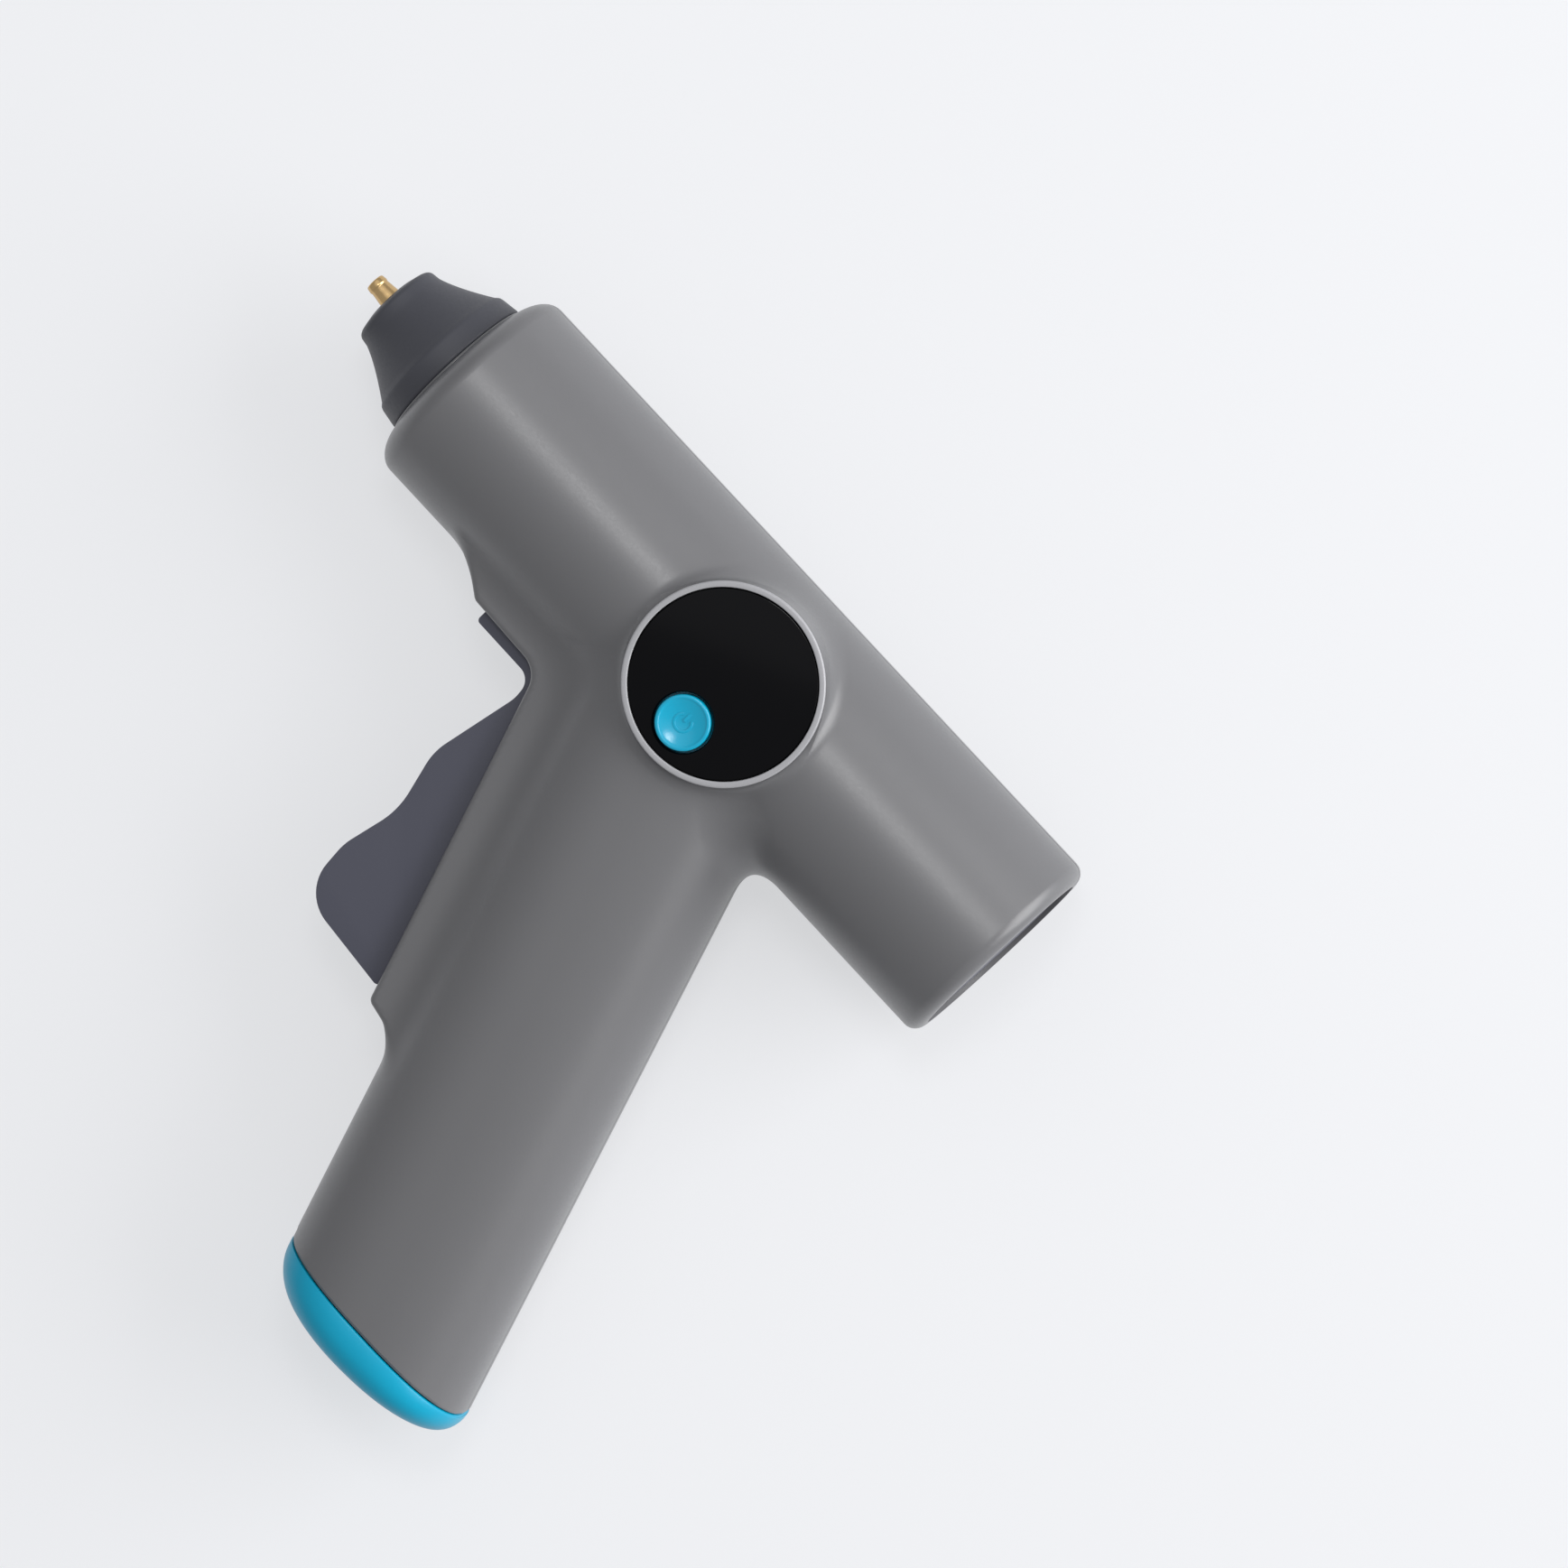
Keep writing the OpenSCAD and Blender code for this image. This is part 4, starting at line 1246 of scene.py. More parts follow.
    def shade(self, obj: Object) -> None:
        """Gives the outer skin the blended form's own normals, and leaves cut edges crisp.

        Args:
            obj: One of the two halves.
        """
        only(obj)
        bpy.ops.object.shade_smooth_by_angle(angle=radians(32))
        mesh = obj.data
        p = get_points(obj)
        off = np.abs(self.shape.distance(p))
        want = self.shape.slope(p)
        want /= np.maximum(np.linalg.norm(want, axis=1), 1e-9)[:, None]
        corner = np.empty(len(mesh.loops), np.int32)
        mesh.loops.foreach_get("vertex_index", corner)
        now = np.empty(len(mesh.loops) * 3, np.float32)
        mesh.corner_normals.foreach_get("vector", now)
        now = now.reshape(-1, 3)
        sizes = np.empty(len(mesh.polygons), np.int32)
        mesh.polygons.foreach_get("loop_total", sizes)
        faces = np.empty(len(mesh.polygons) * 3, np.float32)
        mesh.polygons.foreach_get("normal", faces)
        flat = np.repeat(faces.reshape(-1, 3), sizes, axis=0)
        on_skin, faces_alike = 0.03, 0.86
        good = (off[corner] < on_skin) & ((flat * want[corner]).sum(axis=1) > faces_alike)
        now[good] = want[corner][good]
        mesh.normals_split_custom_set(now.tolist())

    def seat_display(self, left: Object) -> None:
        """Trims the boss flat, adds its clean rim and sinks the seat for the lens.

        Args:
            left: The half that holds the display.
        """
        x, top, outer = S.display_x, S.boss_top, S.boss_r - 0.02
        cut(left, rod("trim", 26, (x, 0, top - 1.2), 12, Axis.Z, 64))
        rim = rounded([((self.seat_r, top - 2.2), 0), ((outer, top - 2.2), 0),
                       ((outer, top), 0.35), ((self.seat_r, top), 0.2)], 5)
        join(left, turned("rim", rim, Axis.Z, (x, 0, 0), 160))
        cut(left, rod("lens_cut", self.seat_r, (x, 0, S.lens_low), 8, Axis.Z, 160),
            rod("pocket_cut", self.pocket_r, (x, 0, self.pocket_low), 8, Axis.Z, 96))

    def build(self) -> None:
        """Builds both halves."""
        left = self.outside()
        self.open_up(left)
        right = left.copy()
        right.data = left.data.copy()
        bpy.context.collection.objects.link(right)
        gap = self.seam_gap
        combine(left, Boolean.KEEP_COMMON, block("left_half", (-200, -200, gap), (60, 60, 60)))
        combine(right, Boolean.KEEP_COMMON, block("right_half", (-200, -200, -60), (60, 60, -gap)))
        self.seat_display(left)
        outer = -30
        for x, y in self.screws:
            cut(left, rod("pilot", self.pilot_r, (x, y, -1), 9, Axis.Z, 32))
            cut(right, rod("bore", self.bore_r, (x, y, outer), 1 - outer, Axis.Z, 32),
                rod("sink", self.sink_r, (x, y, outer), self.sink_floor - outer, Axis.Z, 48))
        for obj, name in ((left, "left_shell"), (right, "right_shell")):
            self.shade(obj)
            finish_piece(obj, name + "_moulding", "housing", HOUSING_GREY, (name,), smooth=None)
        # The boss's flat rim gets a paler grey as painted sheen.
        self.paint_rim_sheen(left)

    @staticmethod
    def paint_rim_sheen(left: Object) -> None:
        """Gives the flat top of the boss a paler grey, which is painted sheen.

        Args:
            left: The half that holds the display.
        """
        left.data.materials.append(RIM_GREY_PAINTED_SHEEN.material())
        for face in left.data.polygons:
            middle = face.center / MM
            r = hypot(middle.x - S.display_x, middle.y)
            if S.lens_r < r < S.boss_r + 0.1 and middle.z > S.boss_top - 0.5:
                face.material_index = 1


@dataclass
class Nose:
    """The flared collar and the brass nozzle in it."""

    collar_r: float = 14.9
    collar_tip_r: float = 8.6
    length: float = 17.7
    mouth_r: float = 2.75
    inner_r: float = 7.9
    nut_r: float = 5.2
    nut_thick: float = 2.9
    seat: float = -150.6

    def collar(self) -> None:
        """A turned sleeve: domed front, hollow flare, and a short band against the barrel."""
        front = S.collar_front
        dome = rounded([((self.mouth_r, front + 2.4), 0), ((self.mouth_r, front), 0.2),
                        ((5.4, front + 0.1), 3), ((8.45, front + 0.9), 1.3),
                        ((8.9, front + 3.4), 0)], 8)[1:-1]
        run = self.length - 6.7
        flare = [(self.collar_tip_r + (self.collar_r - 0.6 - self.collar_tip_r) * (i / 14) ** 1.28,
                  front + 2.3 + run * i / 14) for i in range(1, 14)]
        back = S.barrel_front
        band = rounded([((13.4, -147.0), 0), ((14.5, -144.9), 2.5), ((15.05, -141.3), 0.8),
                        ((14.85, back - 0.42), 0.2), ((13.2, back - 0.42), 0)], 6)[1:]
        inner = [(13.2, back + 2.5), (15.4, back + 2.5), (15.4, back + 4.5), (10.4, back + 4.5),
                 (self.inner_r, back - 2), (self.inner_r, -151.2), (5.7, -151.2),
                 (5.7, front + 2.4), (self.mouth_r, front + 2.4)]
        obj = turned("collar", dome + flare + band + inner, Axis.X, steps=128)
        finish_piece(obj, "heatproof_nose_collar", "housing", HEATPROOF_BLACK,
                     ("nozzle_collar",), smooth=35)

    def nozzle(self) -> None:
        """A lathe-turned brass nozzle with a rolled mouth, and a hexagon for the spanner."""
        tip, collar, seat = S.tip_front, S.collar_front, self.seat
        mouth = rounded([((0.6, tip + 3), 0), ((0.6, tip + 0.55), 0.1), ((0.95, tip), 0.1),
                         ((1.78, tip), 0.35), ((1.95, tip + 1.1), 0.4), ((1.82, tip + 1.5), 0.3),
                         ((2.2, collar), 0), ((2.4, collar + 2.4), 0)], 5)[1:]
        profile = mouth + [(4.2, collar + 3.2), (4.2, seat - 3), (3.4, seat - 3),
                           (3.4, seat + 5), (1.6, seat + 5), (1.6, collar + 2), (0.6, collar + 1.4)]
        obj = turned("nozzle", profile, Axis.X, steps=96)
        hexagon = [(self.nut_r * cos(t), self.nut_r * sin(t))
                   for t in (radians(60 * i) for i in range(6))]
        nut = prism("nut", hexagon, 0, self.nut_thick)
        stand(nut, (seat - 3, 0, 0), 90, Axis.Y)
        bevel_edges(nut, 0.25, 2, lambda a, b: True)
        join(obj, cut(nut, rod("nut_bore", 2.6, (seat - 4, 0, 0), 6, Axis.X)))
        finish_piece(obj, "turned_brass_nozzle", "housing", TURNED_BRASS, ("nozzle",), smooth=40)

    def build(self) -> None:
        """Builds the collar and nozzle."""
        self.collar()
        self.nozzle()


@dataclass
class RearCap:
    """The dark disc in the rear mouth, with the funnel that the glue stick goes into."""

    inlet_r: float = 4.0
    face_r: float = 17.3
    sleeve_r: float = 6.8
    tube_r: float = 5.02

    def build(self) -> None:
        """Builds the cap."""
        face = rounded([((self.inlet_r, -3), 0), ((self.inlet_r, -0.9), 0.3),
                        ((self.inlet_r + 1.1, -0.02), 0.3), ((13.2, -0.02), 0.2),
                        ((13.5, -0.5), 0.2), ((14.1, -0.5), 0.2), ((14.4, -0.02), 0.2),
                        ((self.face_r, -0.02), 0.35), ((self.face_r, -1.45), 0)], 5)[1:]
        profile = face + [(18.3, -1.45), (18.3, -3.45), (self.sleeve_r, -3.45),
                          (self.sleeve_r, -22), (self.tube_r, -22), (self.tube_r, -14),
                          (self.inlet_r, -14)]
        obj = turned("rear_cap", profile, Axis.X, steps=128)
        finish_piece(obj, "moulded_rear_cap", "housing", DARK_NYLON, ("rear_cap",), smooth=35)


@dataclass
class Trigger:
    """The long trigger: a wide, rounded moulding with a hub and two arms up to the carriage."""

    half: float = 6.8
    edge_round: float = 1.5
    bore_r: float = 1.55
    lead: float = 4.0
    wall: float = 1.8
    hub_r: float = 3.6
    arm_in: float = 5.3
    arm_out: float = 6.7

    def outline(self) -> list[Point]:
        """The side view, from the pivot.

        Returns:
            The outline's points.
        """
        x, y = S.pivot_x, S.pivot_y
        rows = [((-4.25, -6.9), 0.8), ((9.9, -7), 3), ((10.5, -11.4), 8), ((7.3, -28.7), 12),
                ((10.5, -40.6), 16), ((8.1, -52), 12), ((9.2, -63.4), 8), ((30, -65.1), 1),
                ((33, -62.9), 1.5), ((18.4, -22), 8), ((8.6, 1.5), 2), ((-4.25, 1.5), 0.5)]
        return rounded([((x + dx, y + dy), r) for (dx, dy), r in rows], 12)

    def arm(self, low: float, high: float) -> Object:
        """One fork arm, from the pivot up to the carriage's pin, between two heights in Z.

        Args:
            low: The Z of its lower side.
            high: The Z of its upper side.

        Returns:
            The arm.
        """
        x, y = S.pivot_x, S.pivot_y
        reach = hypot(self.lead, y)
        arm = block("arm", (x - 3.8, y, low), (x + 4.4, y + reach + 4.6, high))
        cut(arm, block("fork", (x - 1.85, y + reach - 3.4, low - 1),
                       (x + 1.85, y + reach + 6, high + 1)))
        turn_about(arm, -degrees(atan2(self.lead, -y)), Axis.Z, (x, y, 0))
        return arm

    def build(self) -> None:
        """Builds the trigger."""
        x, y = S.pivot_x, S.pivot_y
        obj = prism("trigger", self.outline(), -self.half, self.half)
        bevel_edges(obj, self.edge_round, 5,
                    lambda a, b: abs(abs(a.z) - self.half) < 0.01
                    and abs(abs(b.z) - self.half) < 0.01 and max(a.y, b.y) < y - 6)
        join(obj, rod("hub", self.hub_r, (x, y, -self.arm_out - 0.05), 2 * self.arm_out + 0.1,
                      Axis.Z), self.arm(self.arm_in, self.arm_out),
             self.arm(-self.arm_out, -self.arm_in))
        cut(obj, rod("pivot_bore", self.bore_r, (x, y, -8), 16, Axis.Z))
        rows = [(13.2, -16), (11, -30), (14, -40), (11.4, -51), (12.2, -59.4), (29, -61),
                (40, -56), (22, -12)]
        cut(obj, prism("pocket", [(x + dx, y + dy) for dx, dy in rows], self.wall - self.half,
                       self.half - self.wall))
        finish_piece(obj, "moulded_trigger", "trigger", DARK_NYLON, ("trigger",), smooth=35)


@dataclass
class Display:
    """The black lens with its hole, and the dished power button in it."""

    button_top: float = 22.7
    dish_r: float = 15.0
    dish_depth: float = 0.7
    mark_r: float = 1.6
    mark_half: float = 0.28
    mark_rise: float = 0.09
    hole_r: float = 5.4
    post_at: float = 12.4
    post_turns: tuple[float, float] = (-26.0, 206.0)
    board_r: float = 15.8

    def lens(self) -> None:
        """A disc with softened edges, two posts for the board and the button's hole."""
        x, low, top = S.display_x, S.lens_low + 0.02, S.lens_top
        profile = [(0.0, low)] + rounded([((0, low), 0), ((S.lens_r, low), 0),
                                          ((S.lens_r, top), 0.3), ((0, top), 0)], 6)[1:]
        obj = turned("lens", profile, Axis.Z, (x, 0, 0), 160)
        for turn in map(radians, self.post_turns):
            at = (x + self.post_at * cos(turn), self.post_at * sin(turn), 0)
            join(obj, turned("post", [(1.02, 16.22), (2.0, 16.22), (2.0, 20.1), (1.02, 20.1)],
                             Axis.Z, at, 32))
        hole = rounded([((0, low - 1), 0), ((self.hole_r, low - 1), 0),
                        ((self.hole_r, top - 0.25), 0.1), ((5.75, top + 0.1), 0),
                        ((0, top + 0.1), 0)], 3)
        cut(obj, turned("button_hole", hole, Axis.Z, (x, S.button_y, 0)))
        finish_piece(obj, "smoked_display_lens", "housing", BLACK_ACRYLIC, ("display_lens",))

    def dish(self, r: float) -> float:
        """The height of the button's dished top at a radius."""
        return self.button_top - self.dish_depth + self.dish_r - sqrt(self.dish_r ** 2 - r * r)

    def mark(self) -> Object:
        """The power mark: a ring open at the top, and a bar in the gap.

        Returns:
            The mark.
        """
        x, y, half = S.display_x, S.button_y, self.mark_half
        level = self.dish(self.mark_r)
        high, inner, outer = level + self.mark_rise, self.mark_r - half, self.mark_r + half
        section = rounded([((inner, level - 0.3), 0), ((outer, level - 0.3), 0),
                           ((outer, high), 0.07), ((inner, high), 0.07)], 3)
        ring = ring_of("mark", [(x + r, y, z) for r, z in section], filled=True)
        with editing(ring):
            bpy.ops.mesh.spin(steps=48, angle=radians(285), axis=(0, 0, 1),
                              center=(x * MM, y * MM, 0))
            face_outwards()
        gap = degrees(atan2(*self.gap_middle(ring, x, y)))
        turn_about(ring, 90 - gap, Axis.Z, (x, y, 0))
        bar = block("bar", (x - half, y + 0.35, level - 0.4), (x + half, y + 2.1, level + 0.1))
        bevel_edges(bar, 0.07, 2, lambda a, b: a.z > high and b.z > high)
        return join(ring, bar)

    @staticmethod
    def gap_middle(ring: Object, x: float, y: float) -> tuple[float, float]:
        """The direction, as (sine, cosine), of the middle of the ring's gap from its centre.

        Args:
            ring: The open ring.
            x: The X of its centre.
            y: The Y of its centre.

        Returns:
            The sine and the cosine.
        """
        total = Vector((0, 0, 0))
        for v in ring.data.vertices:
            total += Vector((v.co.x - x * MM, v.co.y - y * MM, 0))
        total = -total.normalized()
        return total.y, total.x

    def button(self) -> None:
        """A round key with a dished top, a stop flange and a hollow underside."""
        x, y, low, top = S.display_x, S.button_y, S.lens_low - 1.2, self.button_top
        r = S.button_r
        dish = [(at, self.dish(at)) for at in (r * 0.86 * i / 12 for i in range(12, 0, -1))]
        rim = rounded([((r, low), 0), ((r, top), 0.35), ((r - 0.62, top), 0.25),
                       (dish[0], 0)], 6)
        profile = rim[1:-1] + dish + [(0, self.dish(0)), (0, low + 1.4), (1.5, low + 1.4),
                                      (1.5, low + 2.6), (r - 1, low + 2.6), (r - 1, low),
                                      (r + 0.9, low), (r + 0.9, low + 0.9), (r, low + 0.9)]
        obj = turned("button", profile, Axis.Z, (x, y, 0))
        cut(obj, turned("trim", [(self.board_r, low - 1), (30, low - 1), (30, low + 2),
                                 (self.board_r, low + 2)], Axis.Z, (x, 0, 0), 128))
        join(obj, self.mark())
        finish_piece(obj, "dished_power_button", "power_button", GLOSS_TEAL, ("power_button",),
                     smooth=35)

    def build(self) -> None:
        """Builds the lens and the button."""
        self.lens()
        self.button()


@dataclass
class Foot:
    """The teal cap on the handle's end: rounded all round, with a gentle belly underneath."""

    columns: int = 144
    wall: float = 2.0
    low: float = -135.65
    edge_round: float = 4.8
    belly_r: float = 115.0
    belly_x: float = S.usb_x - 3
    screws: tuple[float, float] = (S.usb_x - 13, S.usb_x + 13)
    post_r: float = 3.6
    bore_r: float = 1.5
    sink_r: float = 2.5
    mouth_half: tuple[float, float] = (4.45, 2.0)
    mouth_round: float = 1.6

    def belly(self, x: float) -> float:
        """The underside's height at a place along the gun."""
        return self.low + self.belly_r - sqrt(self.belly_r ** 2 - (x - self.belly_x) ** 2)

    def ring(self, inset: float, height: float, from_seam: bool = False) -> list[Place]:
        """One loop round the foot.

        Args:
            inset: How far in from the handle's surface.
            height: Millimetres above the belly, or from the seam's height.
            from_seam: True to measure the height from the seam, so that the loop is level.

        Returns:
            The loop's points.
        """
        turn = radians(S.rake)
        a, b = max(S.handle_a - inset, 0.05), max(S.handle_b - inset, 0.05)
        out: list[Place] = []
        for u, w in superellipse(a, b, S.handle_power, self.columns):
            y = S.base_y + height
            for _ in range(0 if from_seam else 5):
                x = S.handle_at - y * tan(turn) + u / cos(turn)
                y = self.belly(x) + height
            out.append((S.handle_at - y * tan(turn) + u / cos(turn), y, w))
        return out

    def cup(self, name: str, inset: float, top: float, soft: float) -> Object:
        """A solid with the foot's outline, shrunk by inset, up to a level top.

        Args:
            name: The new object's name.
            inset: How far it lies inside the outer surface.
            top: The height of its top from the seam.
            soft: The radius of the softened top edge, or 0.

        Returns:
            The solid.
        """
        r = max(self.edge_round - inset, 0.5)
        loops = []
        if soft:
            loops += [self.ring(inset + soft, top, True),
                      self.ring(inset + soft * 0.3, top - soft * 0.3, True)]
        loops += [self.ring(inset, top - soft, True)]
        loops += [self.ring(inset + r * (1 - cos(t)), inset + r * (1 - sin(t)))
                  for t in np.radians(np.linspace(0, 90, 13))]
        loops += [self.ring(inset + r + (S.handle_b - inset - r) * i / 6, inset)
                  for i in range(1, 6)]
        obj = ring_of(name, loops[0], filled=True)
        with editing(obj):
            for loop in loops[1:]:
                bpy.ops.mesh.extrude_region_move()
                mesh = bmesh.from_edit_mesh(obj.data)
                moved = sorted((v for v in mesh.verts if v.select), key=lambda v: v.index)
                for vert, place in zip(moved, loop):
                    vert.co = Vector(place) * MM
                bmesh.update_edit_mesh(obj.data)
            face_outwards()
        return obj

    def build(self) -> None:
        """Builds the cap as one cup cut out of another, with posts, screw holes and the mouth."""
        obj = self.cup("foot", 0.0, -S.base_seam, 0.35)
        cut(obj, self.cup("foot_hollow", self.wall, 1.0, 0.0))
        for x in self.screws:
            join(obj, rod("post", self.post_r, (x, S.base_low_y + 2.9, 0), 5.7, Axis.Y))
            below = (x, S.base_low_y - 2, 0)
            cut(obj, rod("bore", self.bore_r, below, 14, Axis.Y, 32),
                rod("sink", self.sink_r, below, 5.4, Axis.Y))
        flat, tall = self.mouth_half
        half = [(flat + self.mouth_round * cos(t), tall * sin(t))
                for t in np.radians(np.linspace(-90, 90, 17))]
        mouth = prism("mouth", half + [(-x, -z) for x, z in half], -2, 6)
        stand(mouth, (S.usb_x, S.base_low_y, 0), -90, Axis.X)
        cut(obj, mouth)
        finish_piece(obj, "teal_foot_cap", "housing", TEAL_ABS, ("base_cap",), smooth=35)


@dataclass
class Screws:
    """Cross-head screws: five through the right shell and two up into the foot."""

    head_r: float = 2.5
    foot_head_r: float = 2.2
    seat: float = -8.5
    pitch: float = 0.85
    thread_depth: float = 0.16
    cross_half: tuple[float, float] = (1.4, 0.3)

    def screw(self, name: str, head: float, thick: float, shank: float,
              length: float) -> Object:
        """One screw along +Z from its seat at the origin, with a domed head and a cross in it.

        Args:
            name: The new object's name.
            head: The head's radius.
            thick: The head's thickness.
            shank: The thread's outer radius.
            length: From the seat to the tip.

        Returns:
            The screw.
        """
        profile = [(0, -thick)] + rounded([((0, -thick), 0), ((head * 0.8, -thick), 0.5),
                                           ((head, 0.6 - thick), 0.4), ((head, -0.02), 0.15),
                                           ((shank, -0.02), 0)], 5)[1:]
        turns = int(length / 0.9)
        for i in range(turns):
            profile += [(shank, 1 + i * self.pitch),
                        (shank - self.thread_depth, 1.42 + i * self.pitch)]
        profile += [(shank * 0.5, length), (0, length)]
        obj = turned(name, profile, Axis.Z, steps=40)
        for a, b in (self.cross_half, self.cross_half[::-1]):
            cut(obj, block("cross", (-a, -b, -3), (a, b, 1.0 - thick)))
        return obj

    def build(self) -> None:
        """Builds both sets."""
        one = self.screw("screw", self.head_r, 2.0, 1.29, 15.4)
        places = [(x, y, self.seat) for x, y in Shells().screws]
        finish_piece(copies_joined(one, places), "cross_head_housing_screws", "housing",
                     ZINC_STEEL, ("housing_screws",), smooth=40)
        one = self.screw("foot_screw", self.foot_head_r, 1.2, 1.17, 9.2)
        stand(one, (0, 0, 0), -90, Axis.X)
        places = [(x, S.base_low_y + 3.4, 0) for x in Foot().screws]
        finish_piece(copies_joined(one, places), "cross_head_foot_screws", "housing",
                     ZINC_STEEL, ("base_screws",), smooth=40)


@dataclass
class Inside:
    """The mechanism, heater, battery and boards, which keep the frame's own shapes."""

    finishes: dict[str, Finish] = field(default_factory=lambda: {
        "check_ball": ZINC_STEEL, "nozzle_spring": ZINC_STEEL, "melt_chamber": CAST_ALUMINIUM,
        "heater_plate": ALUMINA, "heater_clip": ZINC_STEEL, "thermistor": BLACK_ABS,
        "heat_shield": ZINC_STEEL, "heater_bracket": HEATPROOF_BLACK,
        "inlet_sleeve": IVORY_SILICONE, "guide_tube": DARK_NYLON,
        "feed_carriage": WHITE_ACETAL, "gripper": ZINC_STEEL, "gripper_pin": ZINC_STEEL,
        "trigger_pin": ZINC_STEEL, "display_module": BLACK_ABS,
        "control_board": GREEN_BOARD, "button_switch": BLACK_ABS, "board_screws": ZINC_STEEL,
        "battery": CELL_WRAP, "battery_cradle": DARK_NYLON, "battery_tabs": ZINC_STEEL,
        "charge_board": GREEN_BOARD, "usb_socket": ZINC_STEEL, "usb_board": GREEN_BOARD,
        "base_frame": DARK_NYLON, "heater_leads": LEAD_COVER, "battery_leads": LEAD_COVER})
    spring_r: float = 6.0
    wire_r: float = 0.4
    spring_from: float = -114.65
    spring_to: float = -104.65
    spring_turns: int = 6

    def dress_nodes(self) -> None:
        """Gives each of the frame's inner nodes its finish."""
        for name, finish in self.finishes.items():
            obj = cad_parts[name]
            obj.data.materials.clear()
            obj.data.materials.append(finish.material())
            LOG.info("%s: %s", name, finish.name)

    def spring(self) -> None:
        """The return spring: a coil of round wire, made at one length."""
        steps = 24
        count = self.spring_turns * steps
        run = self.spring_to - self.spring_from - 2 * self.wire_r
        curve = bpy.data.curves.new("spring", "CURVE")
        curve.dimensions = "3D"
        curve.bevel_depth = self.wire_r * MM
        curve.bevel_resolution = 2
        curve.use_fill_caps = True
        line = curve.splines.new("POLY")
        line.points.add(count)
        for i, point in enumerate(line.points):
            t = 2 * pi * i / steps
            point.co = ((self.spring_from + self.wire_r + run * i / count) * MM,
                        self.spring_r * cos(t) * MM, self.spring_r * sin(t) * MM, 1)
        obj = bpy.data.objects.new("spring", curve)
        bpy.context.collection.objects.link(obj)
        only(obj)
        bpy.ops.object.convert(target="MESH")
        obj = bpy.context.object
        finish_piece(obj, "coiled_return_spring", "housing", ZINC_STEEL, ("return_spring",),
                     smooth=60)
        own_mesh(obj)

    def build(self) -> None:
        """Dresses the inner nodes and builds the spring."""
        self.dress_nodes()
        self.spring()


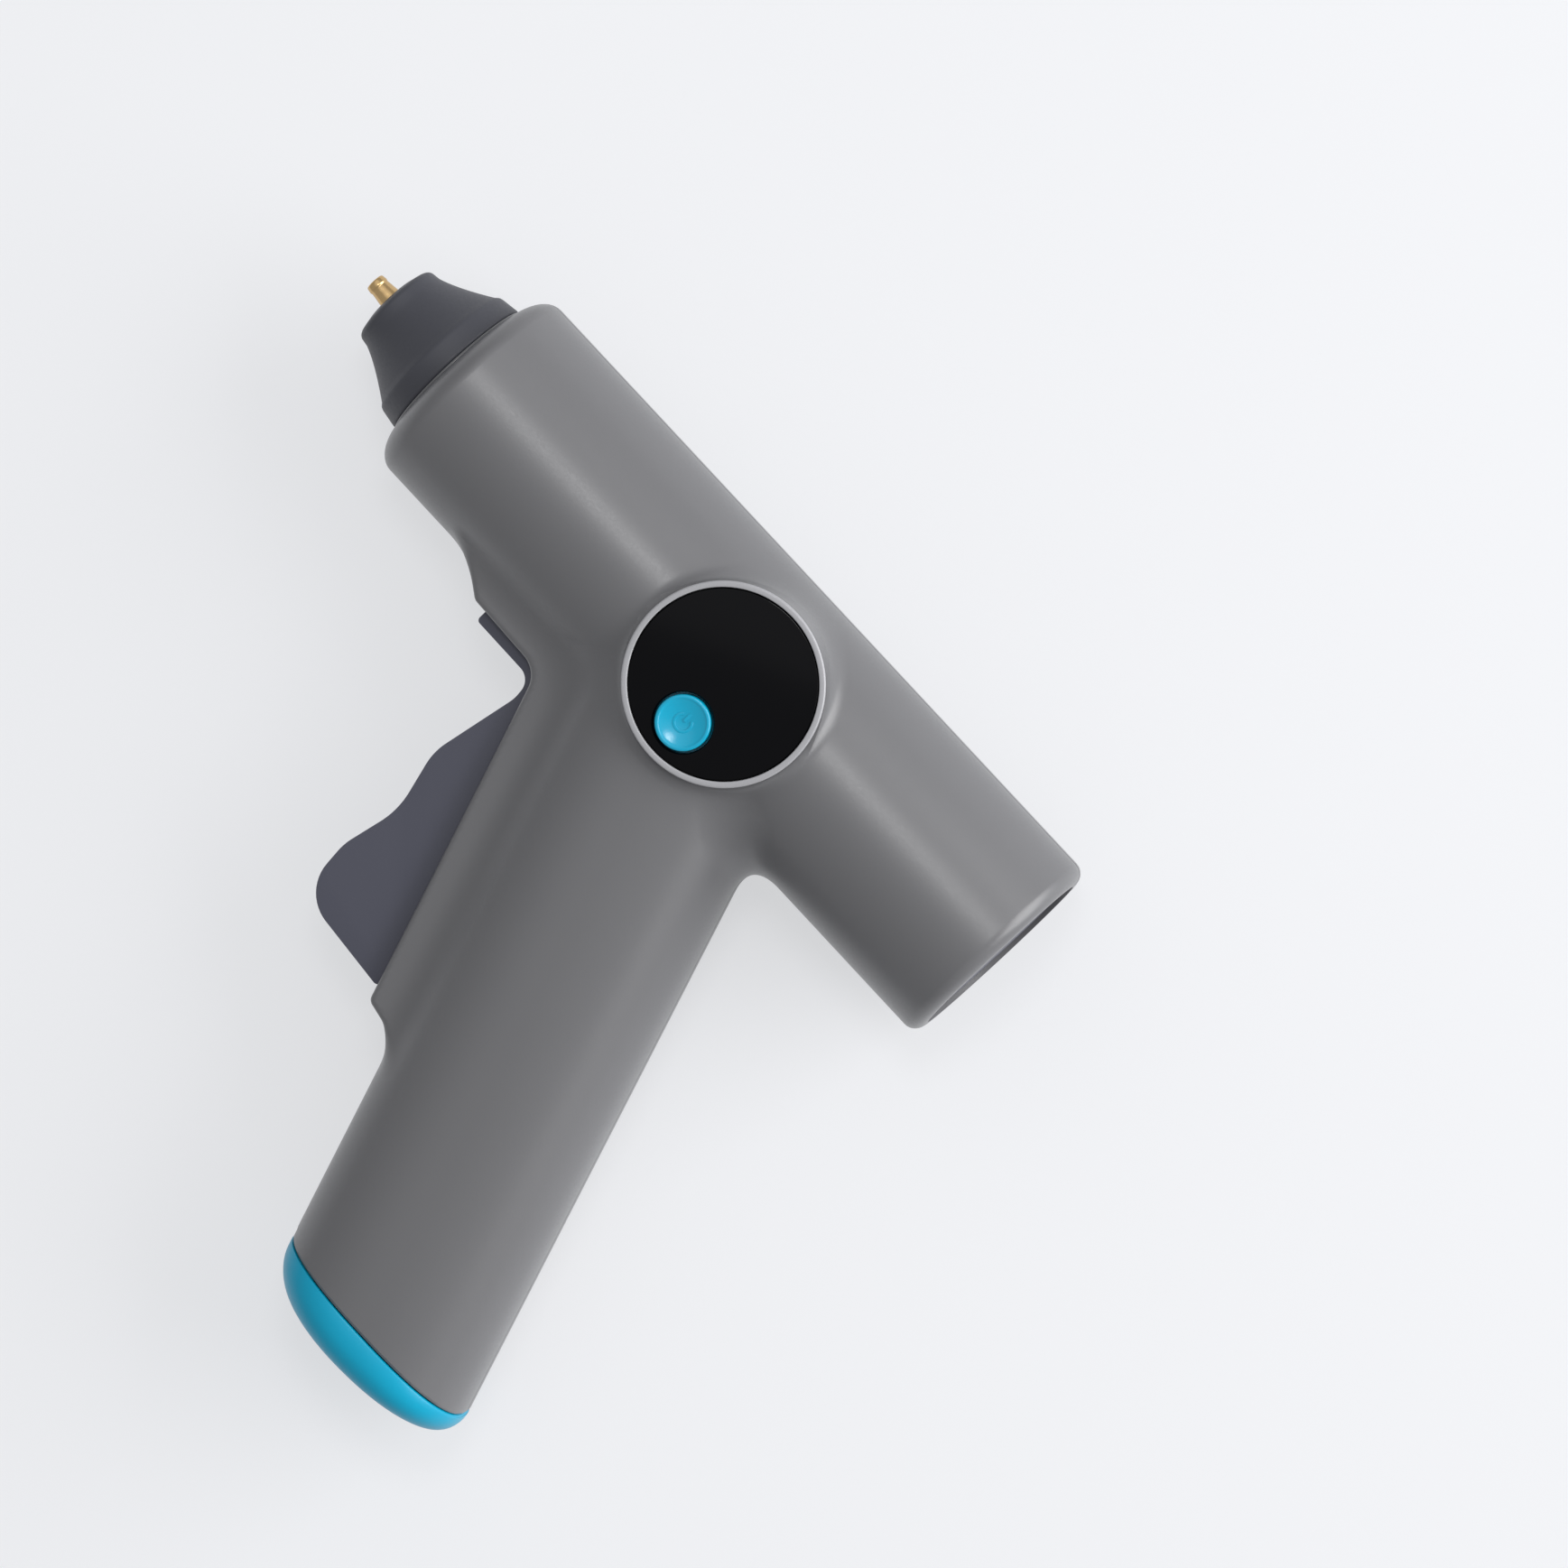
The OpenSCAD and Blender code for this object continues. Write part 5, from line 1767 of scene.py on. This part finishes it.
@dataclass
class Studio:
    """Pale floor, soft lights and the camera."""

    distance_mm: float = 1500.0
    frame_mm: float = 277.9
    aim: Place = (-47.5, -7.6, 0.0)
    towards: Place = (0.068, 0.16, 1.0)
    up: Place = (-0.7254, 0.6884, 0.0)
    sensor_mm: float = 36.0
    foot_reach: float = 127.0
    paper_glow: float = 0.68
    sky: float = 0.52

    def camera(self) -> None:
        """A long lens, so that the view is nearly without perspective."""
        data = bpy.data.cameras.new("camera")
        data.sensor_width = self.sensor_mm
        data.lens = self.sensor_mm * self.distance_mm / self.frame_mm
        data.clip_end = 20.0
        data.clip_start = 0.05
        obj = bpy.data.objects.new("camera", data)
        back = Vector(self.towards).normalized()
        up = Vector(self.up)
        up = (up - up.dot(back) * back).normalized()
        side = up.cross(back)
        turn = Matrix((side, up, back)).transposed().to_4x4()
        place = (Vector(self.aim) + back * self.distance_mm) * MM
        obj.matrix_world = Matrix.Translation(place) @ turn
        bpy.context.collection.objects.link(obj)
        bpy.context.scene.camera = obj

    def light(self, name: str, place: Place, size: float, watts: float, tint: str) -> None:
        """One soft square lamp aimed at the middle of the gun.

        Args:
            name: The lamp's name.
            place: Where it stands, in millimetres.
            size: Its side in metres.
            watts: Its power.
            tint: Its colour.
        """
        data = bpy.data.lights.new(name, "AREA")
        data.size = size
        data.energy = watts
        data.color = linear(tint)[:3]
        obj = bpy.data.objects.new(name, data)
        at = Vector(place) * MM
        obj.matrix_world = (Matrix.Translation(at)
                            @ (at - Vector(self.aim) * MM).to_track_quat("Z", "Y")
                            .to_matrix().to_4x4())
        bpy.context.collection.objects.link(obj)

    def floor(self) -> None:
        """A wide pale floor that touches the barrel and the handle's foot."""
        bpy.ops.object.select_all(action="DESELECT")
        bpy.ops.mesh.primitive_grid_add(x_subdivisions=8, y_subdivisions=8, size=6.0)
        obj = bpy.context.object
        obj.name = obj.data.name = "floor"
        lean = atan((S.barrel_r - S.handle_b) / self.foot_reach)
        obj.data.transform(Matrix.Rotation(-lean, 4, "X")
                           @ Matrix.Translation((0, 0, -(S.barrel_r + 0.05) * MM)))
        obj.data.materials.append(self.paper())

    def paper(self) -> Material:
        """Matt white paper for the floor.

        To the camera and in reflections it shows part of its own white, so that the ground
        stays pale under plain light and still keeps the gun's shadow.

        Returns:
            The material.
        """
        made = bpy.data.materials.new("matt_paper")
        made.use_nodes = True
        tree = made.node_tree
        shader = tree.nodes["Principled BSDF"]
        shader.inputs["Base Color"].default_value = linear("#e3e4e8")
        shader.inputs["Roughness"].default_value = 0.9
        path = add_node(tree, "ShaderNodeLightPath")
        seen = path.outputs["Is Camera Ray"]
        for ray in ("Is Glossy Ray", "Is Transmission Ray"):
            both = add_node(tree, "ShaderNodeMath", {"operation": "MAXIMUM"},
                            {0: seen, 1: path.outputs[ray]})
            seen = both.outputs[0]
        share = add_node(tree, "ShaderNodeMath", {"operation": "MULTIPLY", 1: self.paper_glow},
                         {0: seen})
        white = add_node(tree, "ShaderNodeEmission", {"Color": linear("#eff0f2")})
        mixed = add_node(tree, "ShaderNodeMixShader", {},
                         {0: share.outputs[0], 1: shader.outputs["BSDF"], 2: white.outputs[0]})
        tree.links.new(mixed.outputs[0], tree.nodes["Material Output"].inputs["Surface"])
        return made

    def build(self) -> None:
        """Sets the camera, floor, lamps and surrounding light."""
        scene = bpy.context.scene
        scene.view_settings.view_transform = "Standard"
        self.camera()
        self.floor()
        self.light("key", (700, 880, 380), 1.3, 27.0, "#ffffff")
        self.light("overhead", (-170, 330, 1000), 0.22, 2.0, "#ffffff")
        self.light("fill", (-300, 500, 1100), 1.4, 2.5, "#fdfdff")
        world = bpy.data.worlds.new("studio")
        world.use_nodes = True
        sky = world.node_tree.nodes["Background"]
        sky.inputs["Color"].default_value = linear("#f4f5f7")
        sky.inputs["Strength"].default_value = self.sky
        scene.world = world


def main() -> None:
    """Builds every sub-assembly in order."""
    logging.basicConfig(level=logging.INFO, format="%(message)s")
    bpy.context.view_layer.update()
    Studio().build()
    for part in (Shells(), Nose(), RearCap(), Trigger(), Display(), Foot(), Screws(), Inside()):
        LOG.info("-- %s", type(part).__name__)
        part.build()


if __name__ == "__main__":
    main()
